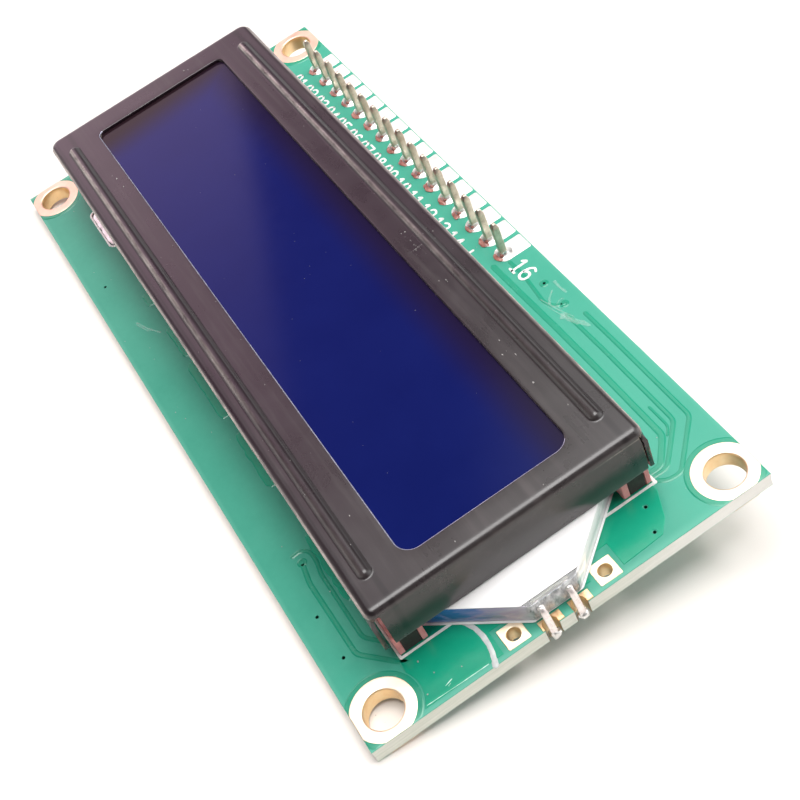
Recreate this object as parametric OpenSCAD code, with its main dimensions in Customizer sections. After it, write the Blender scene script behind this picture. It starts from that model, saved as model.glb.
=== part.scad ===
// Character LCD module, two lines of sixteen characters.
// A green circuit board carries a folded black steel bezel over a glass
// display, with an edge-lit light guide below it and a sixteen-pin header.
// Millimetres. X runs along the board, towards the backlight LED.
// Y runs across it, towards the header. Z points out of the display.
// The origin is at the centre of the four mounting holes, on the board's
// front face.

/* [Board] */
// Length of the circuit board
board_l = 80; // [79:0.5:84]
// Width of the circuit board
board_w = 36; // [36:0.5:40]
// Thickness of the circuit board
board_t = 1.6; // [1.2:0.1:2.0]
// Spacing of the mounting holes along the board
hole_dx = 75.2; // [74.6:0.1:75.4]
// Spacing of the mounting holes across the board
hole_dy = 31.2; // [31:0.1:31.4]
// Diameter of a mounting hole, inside its plating
hole_d = 3.2; // [2.6:0.1:3.4]
// Diameter of the bare ring round a mounting hole
ring_d = 5.3; // [4.6:0.1:5.4]

/* [Bezel] */
// Length of the bezel
bezel_l = 71.2; // [71:0.1:71.6]
// Width of the bezel
bezel_w = 24.4; // [24.2:0.1:24.8]
// Height of the bezel's top face above the board
bezel_h = 7.2; // [7.2:0.1:9]
// Height of the walls' lower edge above the board
wall_gap = 2.45; // [2.4:0.05:3]
// Thickness of the bezel's steel sheet
sheet_t = 0.35; // [0.3:0.05:0.35]
// Outer radius of the bezel's top folds
fold_r = 0.55; // [0.45:0.05:0.9]
// Length of the window
window_l = 65.25; // [60:0.25:65.5]
// Width of the window
window_w = 14.9; // [14:0.1:15.4]
// Height of the two stiffening beads
bead_h = 0.38; // [0.2:0.02:0.5]
// Width of the two stiffening beads
bead_w = 1.3; // [1.2:0.1:1.6]
// Length of a fixing tab
tab_l = 5; // [3:0.5:6]

/* [Header] */
// Number of pins
pin_n = 16; // [14:1:16]
// Distance between pins
pitch = 2.54; // [2.54]
// Side of a square pin
pin_w = 0.64; // [0.5:0.02:0.64]
// Height of the pins above the board
pin_up = 3.95; // [3:0.05:8]
// Length of the pins below the plastic
pin_down = 3; // [2:0.1:3.2]
// Height of the header's plastic
header_h = 2.54; // [2:0.02:2.54]

/* [Backlight] */
// Thickness of the clear light guide
guide_t = 2.09; // [1.6:0.01:2.15]
// Thickness of the films above and below the light guide
film_t = 0.1; // [0.05:0.01:0.1]

/* [Hidden] */
$fn = 48;
cu = 0.05;              // copper and tin together
wall_cu = 0.05;         // plating inside a hole
eps = 0.01;

// bezel outline: low and high in X and Y
bx0 = -0.5 - bezel_l / 2;
bx1 = -0.5 + bezel_l / 2;
by0 = -0.85 - bezel_w / 2;
by1 = -0.85 + bezel_w / 2;
// window outline
wx0 = -0.225 - window_l / 2;
wx1 = -0.225 + window_l / 2;
wy0 = -0.75 - window_w / 2;
wy1 = -0.75 + window_w / 2;
// bead centre lines, and the circle that a bead's section is part of
bead_y = [-11.2, 9.35];
bead_x = [-33.0, 32.3];
bead_r = (bead_w * bead_w / 4 + bead_h * bead_h) / (2 * bead_h);
bead_z = bezel_h + bead_h - bead_r;
// fixing tabs
tab_x = [-28.5, -0.4, 24.3];
slot_l = tab_l + 1.6;
slot_w = 1.0;
slot_y = [by0 + sheet_t / 2 - 0.02, by1 - sheet_t / 2];
tab_reach = 1.7;
// header
pin_x = [for (i = [0:pin_n - 1]) 6.10 - i * pitch];
pin_y = 15.5;
pin_hole_d = 1.0;
pad_w = 2.08;
pad_y0 = 14.6;
pad_y1 = 17.9;
header_top = -board_t - cu;
pin_bot = header_top - header_h - pin_down;
// backlight terminals on the board
wire_pad_x = 38.67;
wire_pad_y = [-4.63, 3.65];
wire_pad_w = 2.0;
wire_hole_d = 1.15;
// notches in the board's edge for the LED's leads
notch_x = 39.7;
notch_y = [-2.0, 0.57];
notch_r = 0.6;
edge_pad = [[-2.8, -0.85], [-0.1, 1.75]];
// display stack, from the bezel's underside down
pol_t = 0.2;
glass_t = 0.7;
pol_top = bezel_h - sheet_t;
glass_top = pol_top - pol_t;
rear_top = glass_top - glass_t;
// contact strips: [inner side, core, outer side] as low and high Y
upper_inner = [8.35, 8.97];
upper_core = [8.97, 10.45];
upper_outer = [10.45, 10.95];
lower_inner = [-10.3, -9.8];
lower_core = [-11.83, -10.3];
lower_outer = [-12.35, -11.83];
strip_x = [-35.4, 34.7];
// light guide outline, with the lamp end cut to a blunt point
guide_pts = [[-34.6, -9.7], [33.5, -9.7], [38.95, -2.62],
             [38.95, 1.33], [33.3, 8.25], [-34.6, 8.25]];
film_z = cu;
guide_z = film_z + film_t;
guide_top = guide_z + guide_t;
// LED sealed in the light guide's point
led_x = [37.5, 38.5];
led_y = [-2.4, 0.9];
led_z = [guide_z + 0.65, guide_z + 1.75];
lead_y = [-2.02, 0.52];
lead_w = 0.5;
lead_t = 0.24;
lead_z = guide_z + 1.38;
// black resin domes on the back
dome_h = 1.6;
dome_r = 6.6;
controller_at = [-13, -2.2];
driver_at = [13.5, -2.2];
// chip parts on the back: [x, y, quarter turns]
resistor_at = [[30.5, 9.5, 0], [30.5, 6.8, 0], [30.5, 4.1, 0],
               [30.5, 1.4, 0], [-1, 6.2, 1], [2.2, 6.2, 1],
               [28.5, -6.5, 1], [31.5, -6.5, 1]];
capacitor_at = [[-26.5, 6.0, 0], [-26.5, 2.8, 0]];
chip_l = 2.0;
chip_w = 1.25;
chip_h = 0.55;
chip_end = 0.4;
finger_n = 44;
finger_w = 0.7;
finger_pitch = 1.5;

// ---- shared shapes ----

// box from low and high corners
module slab(x, y, z) {
    translate([x[0], y[0], z[0]])
        cube([x[1] - x[0], y[1] - y[0], z[1] - z[0]]);
}

// flat outline with round ends, centred, long side along X
module round_slot(l, w) {
    square([l - w, w], center = true);
    for (s = [-1, 1]) translate([s * (l - w) / 2, 0]) circle(d = w);
}

// extrude a Y-Z outline along X, and an X-Z outline along Y
module along_x(x0, x1) {
    translate([x0, 0, 0]) rotate([90, 0, 90])
        linear_extrude(x1 - x0) children();
}
module along_y(y0, y1) {
    translate([0, y1, 0]) rotate([90, 0, 0])
        linear_extrude(y1 - y0) children();
}

// box outline whose two top corners are round
module folded(a0, a1, z0, z1, r) {
    translate([a0, z0]) square([a1 - a0, z1 - z0 - r]);
    translate([a0 + r, z0]) square([a1 - a0 - 2 * r, z1 - z0]);
    for (a = [a0 + r, a1 - r]) translate([a, z1 - r]) circle(r = r);
}

// the four mounting hole centres
module at_holes() {
    for (sx = [-1, 1], sy = [-1, 1])
        translate([sx * hole_dx / 2, sy * hole_dy / 2, 0]) children();
}

// the slots that the bezel's tabs pass through
module tab_slots(grow, z0, z1) {
    for (x = tab_x, y = slot_y)
        translate([x, y, z0]) linear_extrude(z1 - z0)
            round_slot(slot_l + 2 * grow, slot_w + 2 * grow);
}

// open notch in the board's edge
module notch(y, r, z0, z1) {
    translate([notch_x, y, z0]) cylinder(r = r, h = z1 - z0);
    translate([notch_x, y - r, z0]) cube([2, 2 * r, z1 - z0]);
}

// ---- board ----

module circuit_board() {
    color([0.16, 0.55, 0.42])
    difference() {
        slab([-board_l / 2, board_l / 2], [-board_w / 2, board_w / 2],
             [-board_t, 0]);
        at_holes() translate([0, 0, -board_t - 1])
            cylinder(d = hole_d + 2 * wall_cu, h = board_t + 2);
        for (x = pin_x) translate([x, pin_y, -board_t - 1])
            cylinder(d = pin_hole_d + 2 * wall_cu, h = board_t + 2);
        for (y = wire_pad_y) translate([wire_pad_x, y, -board_t - 1])
            cylinder(d = wire_hole_d + 2 * wall_cu, h = board_t + 2);
        tab_slots(0, -board_t - 1, 1);
        for (y = notch_y) notch(y, notch_r + wall_cu, -board_t - 1, 1);
    }
}

// bare tinned ring on both faces of a hole, and the plating between them,
// trimmed where the ring meets the board's edge
module mounting_hole_plating() {
    color([0.86, 0.72, 0.48])
    intersection() {
        at_holes() difference() {
            union() {
                for (z = [0, -board_t - cu]) translate([0, 0, z])
                    cylinder(d = ring_d, h = cu);
                translate([0, 0, -board_t - cu])
                    cylinder(d = hole_d + 2 * wall_cu,
                             h = board_t + 2 * cu);
            }
            translate([0, 0, -board_t - 1])
                cylinder(d = hole_d, h = board_t + 2);
        }
        slab([-board_l / 2, board_l / 2], [-board_w / 2, board_w / 2],
             [-board_t - 1, 1]);
    }
}

// long tinned pads for the header, on both faces, with plated holes
module pin_pads() {
    color([0.85, 0.84, 0.80])
    for (x = pin_x) difference() {
        union() {
            for (z = [0, -board_t - cu]) translate([0, 0, z]) {
                translate([x, pad_y0 + pad_w / 2, 0])
                    cylinder(d = pad_w, h = cu);
                translate([x - pad_w / 2, pad_y0 + pad_w / 2, 0])
                    cube([pad_w, pad_y1 - pad_y0 - pad_w / 2, cu]);
            }
            translate([x, pin_y, -board_t - cu])
                cylinder(d = pin_hole_d + 2 * wall_cu,
                         h = board_t + 2 * cu);
        }
        translate([x, pin_y, -board_t - 1])
            cylinder(d = pin_hole_d, h = board_t + 2);
    }
}

// square pads for wires to the backlight
module backlight_pads() {
    color([0.90, 0.72, 0.40])
    for (y = wire_pad_y) translate([wire_pad_x, y, 0]) difference() {
        union() {
            for (z = [0, -board_t - cu])
                translate([-wire_pad_w / 2, -wire_pad_w / 2, z])
                    cube([wire_pad_w, wire_pad_w, cu]);
            translate([0, 0, -board_t - cu])
                cylinder(d = wire_hole_d + 2 * wall_cu,
                         h = board_t + 2 * cu);
        }
        translate([0, 0, -board_t - 1])
            cylinder(d = wire_hole_d, h = board_t + 2);
    }
}

// pads round the two notches in the board's edge
module led_edge_pads() {
    color([0.88, 0.68, 0.38])
    for (i = [0, 1]) difference() {
        union() {
            for (z = [0, -board_t - cu])
                slab([39.05, board_l / 2 - 0.05], edge_pad[i], [z, z + cu]);
            intersection() {
                notch(notch_y[i], notch_r + wall_cu, -board_t - cu, cu);
                slab([38, board_l / 2], [-5, 5], [-board_t - cu, cu]);
            }
        }
        notch(notch_y[i], notch_r, -board_t - 1, 1);
    }
}

// tinned ring round the slot of the one soldered tab
module ground_slot_pad() {
    color([0.82, 0.82, 0.78])
    translate([tab_x[0], slot_y[0], 0])
    for (z = [0, -board_t - cu]) translate([0, 0, z])
        linear_extrude(cu) difference() {
            round_slot(slot_l + 0.5, slot_w + 0.5);
            round_slot(slot_l, slot_w);
        }
}

// solder that fills the slot round the grounded tab
module ground_tab_solder() {
    color([0.80, 0.80, 0.80])
    difference() {
        translate([tab_x[0], slot_y[0], -board_t + 0.25])
            linear_extrude(board_t - 0.25 + cu + 0.03)
                round_slot(slot_l, slot_w);
        slab([tab_x[0] - tab_l / 2, tab_x[0] + tab_l / 2],
             [by0, by0 + sheet_t], [-3, 3]);
    }
}

// rows of contacts under the two strips
module contact_fingers() {
    color([0.86, 0.70, 0.36])
    for (i = [0:finger_n - 1], y = [(upper_core[0] + upper_core[1]) / 2,
                                    (lower_core[0] + lower_core[1]) / 2])
        translate([-0.35 + (i - (finger_n - 1) / 2) * finger_pitch
                   - finger_w / 2, y - 0.6, 0])
            cube([finger_w, 1.2, cu]);
}

// ---- header ----

// square pin with both ends drawn to a blunt point
module pin_outline() {
    h = pin_w / 2;
    t = 0.17;
    c = 0.45;
    polygon([[-h, pin_bot + c], [-t, pin_bot], [t, pin_bot],
             [h, pin_bot + c], [h, pin_up - c], [t, pin_up],
             [-t, pin_up], [-h, pin_up - c]]);
}

module header_pins() {
    color([0.86, 0.78, 0.55])
    for (x = pin_x) translate([x, pin_y, 0]) intersection() {
        along_x(-1, 1) pin_outline();
        along_y(-1, 1) pin_outline();
    }
}

// black strip of sixteen blocks with notches between them
module header_body() {
    color([0.06, 0.06, 0.065])
    difference() {
        translate([0, pin_y, header_top - header_h])
            linear_extrude(header_h)
                for (x = pin_x) translate([x, 0]) polygon([
                    [-pitch / 2 - eps, -0.85], [-0.85, -1.27],
                    [0.85, -1.27], [pitch / 2 + eps, -0.85],
                    [pitch / 2 + eps, 0.85], [0.85, 1.27],
                    [-0.85, 1.27], [-pitch / 2 - eps, 0.85]]);
        for (x = pin_x)
            translate([x - pin_w / 2, pin_y - pin_w / 2,
                       header_top - header_h - 1])
                cube([pin_w, pin_w, header_h + 2]);
    }
}

// low cone of solder round each pin, and the solder in its hole
module pin_solder() {
    color([0.84, 0.84, 0.84])
    for (x = pin_x) translate([x, pin_y, 0]) difference() {
        union() {
            translate([0, 0, -board_t])
                cylinder(d = pin_hole_d, h = board_t + cu);
            translate([0, 0, cu]) cylinder(r1 = 0.86, r2 = 0.62, h = 0.16);
            translate([0, 0, cu + 0.16])
                cylinder(r1 = 0.62, r2 = 0.5, h = 0.3);
        }
        translate([-pin_w / 2, -pin_w / 2, -board_t - 1])
            cube([pin_w, pin_w, board_t + 4]);
    }
}

// ---- bezel ----

module window_outline() {
    rn = 1.4;
    rf = 0.75;
    translate([wx0 + rf, wy0]) square([wx1 - rn - wx0 - rf, wy1 - wy0]);
    translate([wx1 - rn - eps, wy0 + rn])
        square([rn + eps, wy1 - wy0 - 2 * rn]);
    translate([wx0, wy0 + rf]) square([rf + eps, wy1 - wy0 - 2 * rf]);
    for (y = [wy0 + rn, wy1 - rn]) translate([wx1 - rn, y]) circle(r = rn);
    for (y = [wy0 + rf, wy1 - rf]) translate([wx0 + rf, y]) circle(r = rf);
}

// round-ended rod that a bead is part of
module bead_rod(y, r) {
    translate([bead_x[0] + bead_w / 2, y, bead_z]) rotate([0, 90, 0])
        cylinder(r = r, h = bead_x[1] - bead_x[0] - bead_w);
    for (x = [bead_x[0] + bead_w / 2, bead_x[1] - bead_w / 2])
        translate([x, y, bead_z]) sphere(r = r);
}

// tab outline across the lower wall: down through the slot, then folded
// inwards under the board
module tab_outline() {
    r = 0.2;
    b = -board_t - cu;
    translate([by0, b + r]) square([sheet_t, wall_gap + 0.5 - b - r]);
    difference() {
        translate([by0 + sheet_t + r, b + r]) circle(r = r + sheet_t);
        translate([by0 + sheet_t + r, b + r]) circle(r = r);
        translate([by0 - 1, b + r]) square([4, 2]);
        translate([by0 + sheet_t + r, b - 2]) square([4, 4]);
    }
    translate([by0 + sheet_t + r, b - sheet_t])
        square([tab_reach - r, sheet_t]);
}

module metal_bezel() {
    color([0.10, 0.095, 0.10])
    difference() {
        union() {
            difference() {
                intersection() {
                    along_x(bx0, bx1)
                        folded(by0, by1, wall_gap, bezel_h, fold_r);
                    along_y(by0, by1)
                        folded(bx0, bx1, wall_gap, bezel_h, fold_r);
                }
                intersection() {
                    along_x(bx0 - 1, bx1 + 1)
                        folded(by0 + sheet_t, by1 - sheet_t, wall_gap - 1,
                               bezel_h - sheet_t, fold_r - sheet_t);
                    along_y(by0 - 1, by1 + 1)
                        folded(bx0 + sheet_t, bx1 - sheet_t, wall_gap - 1,
                               bezel_h - sheet_t, fold_r - sheet_t);
                }
            }
            intersection() {
                for (y = bead_y) bead_rod(y, bead_r);
                slab([bx0, bx1], [by0, by1],
                     [bezel_h - sheet_t, bezel_h + 2]);
            }
            for (x = tab_x) {
                along_x(x - tab_l / 2, x + tab_l / 2) tab_outline();
                translate([0, by0 + by1, 0]) mirror([0, 1, 0])
                    along_x(x - tab_l / 2, x + tab_l / 2) tab_outline();
            }
        }
        for (y = bead_y) bead_rod(y, bead_r - sheet_t);
        translate([0, 0, bezel_h - 2]) linear_extrude(4) window_outline();
        // corner slits beside the end walls, each with a round relief
        for (x = [bx0 - 0.1, bx1 - sheet_t - 0.1]) {
            slab([x, x + sheet_t + 0.2],
                 [by0 + sheet_t, by0 + sheet_t + 0.6], [0, 6.3]);
            slab([x, x + sheet_t + 0.2],
                 [by1 - sheet_t - 0.2, by1 - sheet_t], [0, 6.3]);
            for (y = [by0 + sheet_t + 0.35, by1 - sheet_t - 0.15])
                translate([x, y, 6.3]) rotate([0, 90, 0])
                    cylinder(r = 0.28, h = sheet_t + 0.2);
        }
    }
}

// ---- display ----

module front_polariser() {
    color([0.10, 0.12, 0.45])
    slab([-34.0, 33.6], [-9.3, 7.8], [glass_top, pol_top]);
}

module front_glass() {
    color([0.15, 0.18, 0.40, 0.6])
    slab([-35.5, 34.5], [-12.45, 10.8], [rear_top, glass_top]);
}

module rear_glass() {
    color([0.15, 0.18, 0.40, 0.6])
    slab([-35.5, 34.5], [-9.7, 8.25], [rear_top - glass_t, rear_top]);
}

module rear_polariser() {
    color([0.12, 0.14, 0.40])
    slab([-34.0, 33.6], [-9.3, 7.8],
         [rear_top - glass_t - pol_t, rear_top - glass_t]);
}

// striped rubber strips that press the glass's contacts onto the board
module upper_strip_core() {
    color([0.07, 0.06, 0.07])
    slab(strip_x, upper_core, [cu, rear_top]);
}
module upper_strip_sides() {
    color([0.88, 0.55, 0.58])
    for (y = [upper_inner, upper_outer])
        slab(strip_x, y, [cu, rear_top]);
}
module lower_strip_core() {
    color([0.07, 0.06, 0.07])
    slab(strip_x, lower_core, [cu, rear_top]);
}
module lower_strip_sides() {
    color([0.88, 0.55, 0.58])
    for (y = [lower_inner, lower_outer])
        slab(strip_x, y, [cu, rear_top]);
}

// ---- backlight ----

module light_guide() {
    color([0.90, 0.93, 0.95, 0.5])
    difference() {
        translate([0, 0, guide_z]) linear_extrude(guide_t)
            polygon(guide_pts);
        slab(led_x, led_y, led_z);
        for (y = lead_y)
            slab([led_x[1] - eps, 40], [y - lead_w / 2, y + lead_w / 2],
                 [lead_z - lead_t / 2, lead_z + lead_t / 2]);
    }
}

// white sheet on top of the light guide, short of its point
module diffuser_film() {
    color([0.97, 0.97, 0.97])
    translate([0, 0, guide_top]) linear_extrude(film_t) intersection() {
        polygon(guide_pts);
        translate([-60, -30]) square([98.5, 60]);
    }
}

// white sheet below the light guide, a little wider at its slanted ends
module reflector_film() {
    color([0.96, 0.96, 0.96])
    translate([0, 0, film_z]) linear_extrude(film_t)
        polygon([[-34.6, -9.75], [33.62, -9.75], [38.93, -2.88],
                 [38.93, 1.56], [33.42, 8.3], [-34.6, 8.3]]);
}

module backlight_led() {
    color([0.92, 0.90, 0.70])
    slab(led_x, led_y, led_z);
}

// lead outline in X and Z: out of the light guide, then down into the
// notch in the board's edge
module lead_outline() {
    h = lead_t / 2;
    polygon([
        [led_x[1], lead_z - h], [39.06, lead_z - h],
        [39.22, lead_z - 0.45], [39.62, 0.2], [39.74, -0.5],
        [39.78, -board_t - 0.3], [39.78 + lead_t, -board_t - 0.3],
        [39.98, -0.46], [39.86, 0.28], [39.43, lead_z - 0.36],
        [39.2, lead_z + h], [led_x[1], lead_z + h]]);
}

module led_leads() {
    color([0.85, 0.85, 0.83])
    for (y = lead_y)
        along_y(y - lead_w / 2, y + lead_w / 2) lead_outline();
}

// solder at the foot of each lead, in its notch
module led_solder() {
    color([0.80, 0.80, 0.80])
    for (i = [0, 1]) difference() {
        intersection() {
            notch(notch_y[i], notch_r, -board_t - 0.2, -0.95);
            slab([38, 40.25], [-5, 5], [-board_t - 0.2, -0.95]);
        }
        along_y(lead_y[i] - lead_w / 2, lead_y[i] + lead_w / 2)
            lead_outline();
    }
}

// ---- parts on the back ----

// round resin dome, flat against the board
module dome(at) {
    r = (dome_r * dome_r + dome_h * dome_h) / (2 * dome_h);
    translate([at[0], at[1], -board_t]) intersection() {
        translate([0, 0, r - dome_h]) sphere(r = r, $fn = 96);
        translate([0, 0, -3]) cylinder(r = dome_r + 1, h = 3);
    }
}
module controller_dome() { color([0.05, 0.05, 0.055]) dome(controller_at); }
module driver_dome() { color([0.05, 0.05, 0.055]) dome(driver_at); }

// one chip body, and its two metal ends, on the back of the board
module chip_body(c, h) {
    translate([c[0], c[1], -board_t - h]) rotate([0, 0, 90 * c[2]])
        translate([-chip_l / 2 + chip_end, -chip_w / 2, 0])
            cube([chip_l - 2 * chip_end, chip_w, h]);
}
module chip_ends(c, h) {
    translate([c[0], c[1], -board_t - h]) rotate([0, 0, 90 * c[2]])
        for (s = [-1, 1])
            translate([s * (chip_l / 2 - chip_end / 2) - chip_end / 2,
                       -chip_w / 2, 0])
                cube([chip_end, chip_w, h]);
}
module chip_resistors() {
    color([0.08, 0.08, 0.09])
    for (c = resistor_at) chip_body(c, chip_h);
}
module chip_capacitors() {
    color([0.62, 0.50, 0.36])
    for (c = capacitor_at) chip_body(c, chip_h + 0.35);
}
module chip_terminals() {
    color([0.80, 0.80, 0.80]) {
        for (c = resistor_at) chip_ends(c, chip_h);
        for (c = capacitor_at) chip_ends(c, chip_h + 0.35);
    }
}

circuit_board();
mounting_hole_plating();
pin_pads();
header_pins();
header_body();
pin_solder();
metal_bezel();
front_polariser();
front_glass();
rear_glass();
rear_polariser();
upper_strip_core();
upper_strip_sides();
lower_strip_core();
lower_strip_sides();
light_guide();
diffuser_film();
reflector_film();
backlight_led();
led_leads();
led_solder();
led_edge_pads();
backlight_pads();
ground_slot_pad();
ground_tab_solder();
contact_fingers();
controller_dome();
driver_dome();
chip_resistors();
chip_capacitors();
chip_terminals();
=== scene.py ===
import bpy
import math
import random
from mathutils import Vector, Matrix
from mathutils import noise as mnoise
from mathutils.geometry import delaunay_2d_cdt


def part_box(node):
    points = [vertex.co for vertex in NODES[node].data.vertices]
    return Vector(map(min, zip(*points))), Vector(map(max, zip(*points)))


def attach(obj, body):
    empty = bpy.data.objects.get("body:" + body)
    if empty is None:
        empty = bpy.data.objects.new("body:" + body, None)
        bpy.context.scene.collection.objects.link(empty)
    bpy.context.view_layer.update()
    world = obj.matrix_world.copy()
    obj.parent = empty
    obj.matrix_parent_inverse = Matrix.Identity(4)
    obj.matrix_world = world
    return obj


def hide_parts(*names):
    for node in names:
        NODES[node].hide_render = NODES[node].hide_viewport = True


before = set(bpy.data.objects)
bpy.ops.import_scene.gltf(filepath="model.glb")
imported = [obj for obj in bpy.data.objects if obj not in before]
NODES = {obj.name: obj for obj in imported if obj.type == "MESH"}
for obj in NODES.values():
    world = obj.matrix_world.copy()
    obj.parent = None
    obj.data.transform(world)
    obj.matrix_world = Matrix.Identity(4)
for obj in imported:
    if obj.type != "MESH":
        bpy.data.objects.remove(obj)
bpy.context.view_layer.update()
scene = bpy.context.scene
MM = 0.001
rng = random.Random(16)

# ------------------------------------------------------------------
# positions, in millimetres, read from the CAD nodes
# ------------------------------------------------------------------


def nbox(name):
    lo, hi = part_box(name)
    return [v / MM for v in lo], [v / MM for v in hi]


(BX0, BY0, _), (BX1, BY1, BEAD_TOP) = nbox("metal_bezel")
(GX0, GY0, GZ0), (GX1, GY1, GZ1) = nbox("light_guide")
BOARD_LO, BOARD_HI = nbox("circuit_board")
BT = BOARD_HI[2] - BOARD_LO[2]
HX, HY, HR, RING_R = 37.6, 15.6, 1.6, 2.65
BEZEL_TOP, SHEET, FOLD = 7.2, 0.35, 0.62
WALL_BOT = 2.45
PIN_X = [6.10 - 2.54 * i for i in range(16)]
PIN_Y = 15.5
PIN_TOP = nbox("header_pins")[1][2]
PIN_BOT = nbox("header_pins")[0][2]
CU = 0.05
WX0, WX1, WY0, WY1 = -32.85, 32.4, -8.2, 6.7
TAB_X = [-28.5, -0.4, 24.3]

# ------------------------------------------------------------------
# materials: every one is built from procedural nodes in object space
# ------------------------------------------------------------------


class Mat:
    def __init__(self, name):
        self.m = bpy.data.materials.new(name)
        self.m.use_nodes = True
        self.nt = self.m.node_tree
        self.nt.nodes.clear()
        self.out = self.node("ShaderNodeOutputMaterial")
        self.b = self.node("ShaderNodeBsdfPrincipled")
        self.link(self.b.outputs[0], self.out.inputs[0])
        self.tc = self.node("ShaderNodeTexCoord")

    def node(self, kind, **kw):
        n = self.nt.nodes.new(kind)
        for k, v in kw.items():
            setattr(n, k, v)
        return n

    def link(self, a, b):
        self.nt.links.new(a, b)

    def set(self, **kw):
        for k, v in kw.items():
            key = k.replace("_", " ")
            self.b.inputs[key].default_value = v
        return self

    def coords(self, scale=(1, 1, 1), loc=(0, 0, 0), rot=(0, 0, 0)):
        mp = self.node("ShaderNodeMapping")
        mp.inputs["Scale"].default_value = scale
        mp.inputs["Location"].default_value = loc
        mp.inputs["Rotation"].default_value = rot
        self.link(self.tc.outputs["Object"], mp.inputs["Vector"])
        return mp.outputs[0]

    def noise(self, scale, detail=3.0, rough=0.5, vec=None, distortion=0.0):
        n = self.node("ShaderNodeTexNoise")
        n.inputs["Scale"].default_value = scale
        n.inputs["Detail"].default_value = detail
        n.inputs["Roughness"].default_value = rough
        n.inputs["Distortion"].default_value = distortion
        self.link(vec if vec is not None else self.tc.outputs["Object"], n.inputs["Vector"])
        return n.outputs["Fac"]

    def ramp(self, fac, stops):
        r = self.node("ShaderNodeValToRGB")
        el = r.color_ramp.elements
        el[0].position, el[0].color = stops[0][0], (*stops[0][1], 1)
        el[1].position, el[1].color = stops[-1][0], (*stops[-1][1], 1)
        for p, c in stops[1:-1]:
            e = el.new(p)
            e.color = (*c, 1)
        self.link(fac, r.inputs[0])
        return r.outputs[0]

    def mrange(self, fac, a, b, c, d, smooth=False):
        r = self.node("ShaderNodeMapRange")
        if smooth:
            r.interpolation_type = "SMOOTHSTEP"
        for key, v in zip(("From Min", "From Max", "To Min", "To Max"), (a, b, c, d)):
            r.inputs[key].default_value = v
        self.link(fac, r.inputs["Value"])
        return r.outputs[0]

    def math(self, op, a, b=None, c=None, clamp=False):
        n = self.node("ShaderNodeMath", operation=op)
        n.use_clamp = clamp
        for i, v in enumerate((a, b, c)):
            if v is None:
                continue
            if isinstance(v, (int, float)):
                n.inputs[i].default_value = v
            else:
                self.link(v, n.inputs[i])
        return n.outputs[0]

    def mix(self, fac, a, b, blend="MIX"):
        n = self.node("ShaderNodeMix", data_type="RGBA", blend_type=blend)
        if isinstance(fac, (int, float)):
            n.inputs[0].default_value = fac
        else:
            self.link(fac, n.inputs[0])
        for sock, v in ((n.inputs[6], a), (n.inputs[7], b)):
            if isinstance(v, tuple):
                sock.default_value = (*v, 1)
            else:
                self.link(v, sock)
        return n.outputs[2]

    def xyz(self):
        s = self.node("ShaderNodeSeparateXYZ")
        self.link(self.tc.outputs["Object"], s.inputs[0])
        return s.outputs

    def normal_z(self):
        g = self.node("ShaderNodeNewGeometry")
        s = self.node("ShaderNodeSeparateXYZ")
        self.link(g.outputs["Normal"], s.inputs[0])
        return s.outputs[2]

    def bump(self, fac, strength, distance, prev=None):
        n = self.node("ShaderNodeBump")
        n.inputs["Strength"].default_value = strength
        n.inputs["Distance"].default_value = distance
        self.link(fac, n.inputs["Height"])
        if prev is not None:
            self.link(prev, n.inputs["Normal"])
        return n.outputs[0]

    def color(self, sock):
        self.link(sock, self.b.inputs["Base Color"])
        return self

    def rough(self, sock):
        self.link(sock, self.b.inputs["Roughness"])
        return self

    def normal(self, sock):
        self.link(sock, self.b.inputs["Normal"])
        return self


def simple(name, lo, hi, scale, rough=(0.4, 0.5), metallic=0.0, bump=(0.15, 3000, 0.00002), **kw):
    """Two-tone noise with its own roughness change and a fine bump."""
    m = Mat(name)
    m.color(m.ramp(m.noise(scale, 4.0, 0.6), [(0.35, lo), (0.65, hi)]))
    m.rough(m.mrange(m.noise(scale * 2.3, 3.0), 0.3, 0.7, rough[0], rough[1]))
    m.set(Metallic=metallic, **kw)
    if bump:
        m.normal(m.bump(m.noise(bump[1], 3.0), bump[0], bump[2]))
    return m


def mask_material(name, deep, light, sheen=0.5, rough=0.2):
    """Glossy solder mask with slow colour drift, weave and small pits."""
    m = Mat(name)
    big = m.noise(90, 3.0, 0.5)
    fine = m.noise(1500, 3.0, 0.6)
    col = m.ramp(big, [(0.3, deep), (0.7, light)])
    col = m.mix(m.mrange(fine, 0.3, 0.7, 0.0, 0.12), col, tuple(min(1, c * 1.25 + 0.01) for c in light))
    # the mask is paler in a narrow band next to the board's sawn edges
    x, y, z = m.xyz()
    ex = m.mrange(m.math("ABSOLUTE", x), 0.0391, 0.04, 0.0, 0.62, True)
    ey = m.mrange(m.math("ABSOLUTE", y), 0.0175, 0.018, 0.0, 0.35, True)
    edge = m.math("MAXIMUM", ex, ey)
    col = m.mix(edge, col, tuple(min(1, c * 1.2 + 0.08) for c in light))
    # painted light: the header's half is made paler, standing in for the stronger light falling on that side
    col = m.mix(m.mrange(y, 0.004, 0.014, 0.0, 0.55, True), col, tuple(min(1, c * 1.42 + 0.006) for c in light))
    m.color(col)
    m.rough(m.mrange(m.noise(700, 3.0), 0.3, 0.7, rough * 0.8, rough * 1.3))
    m.set(Specular_IOR_Level=sheen)
    n1 = m.bump(m.noise(520, 2.0), 0.06, 0.00006)
    m.normal(m.bump(fine, 0.10, 0.000012, n1))
    return m


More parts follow.
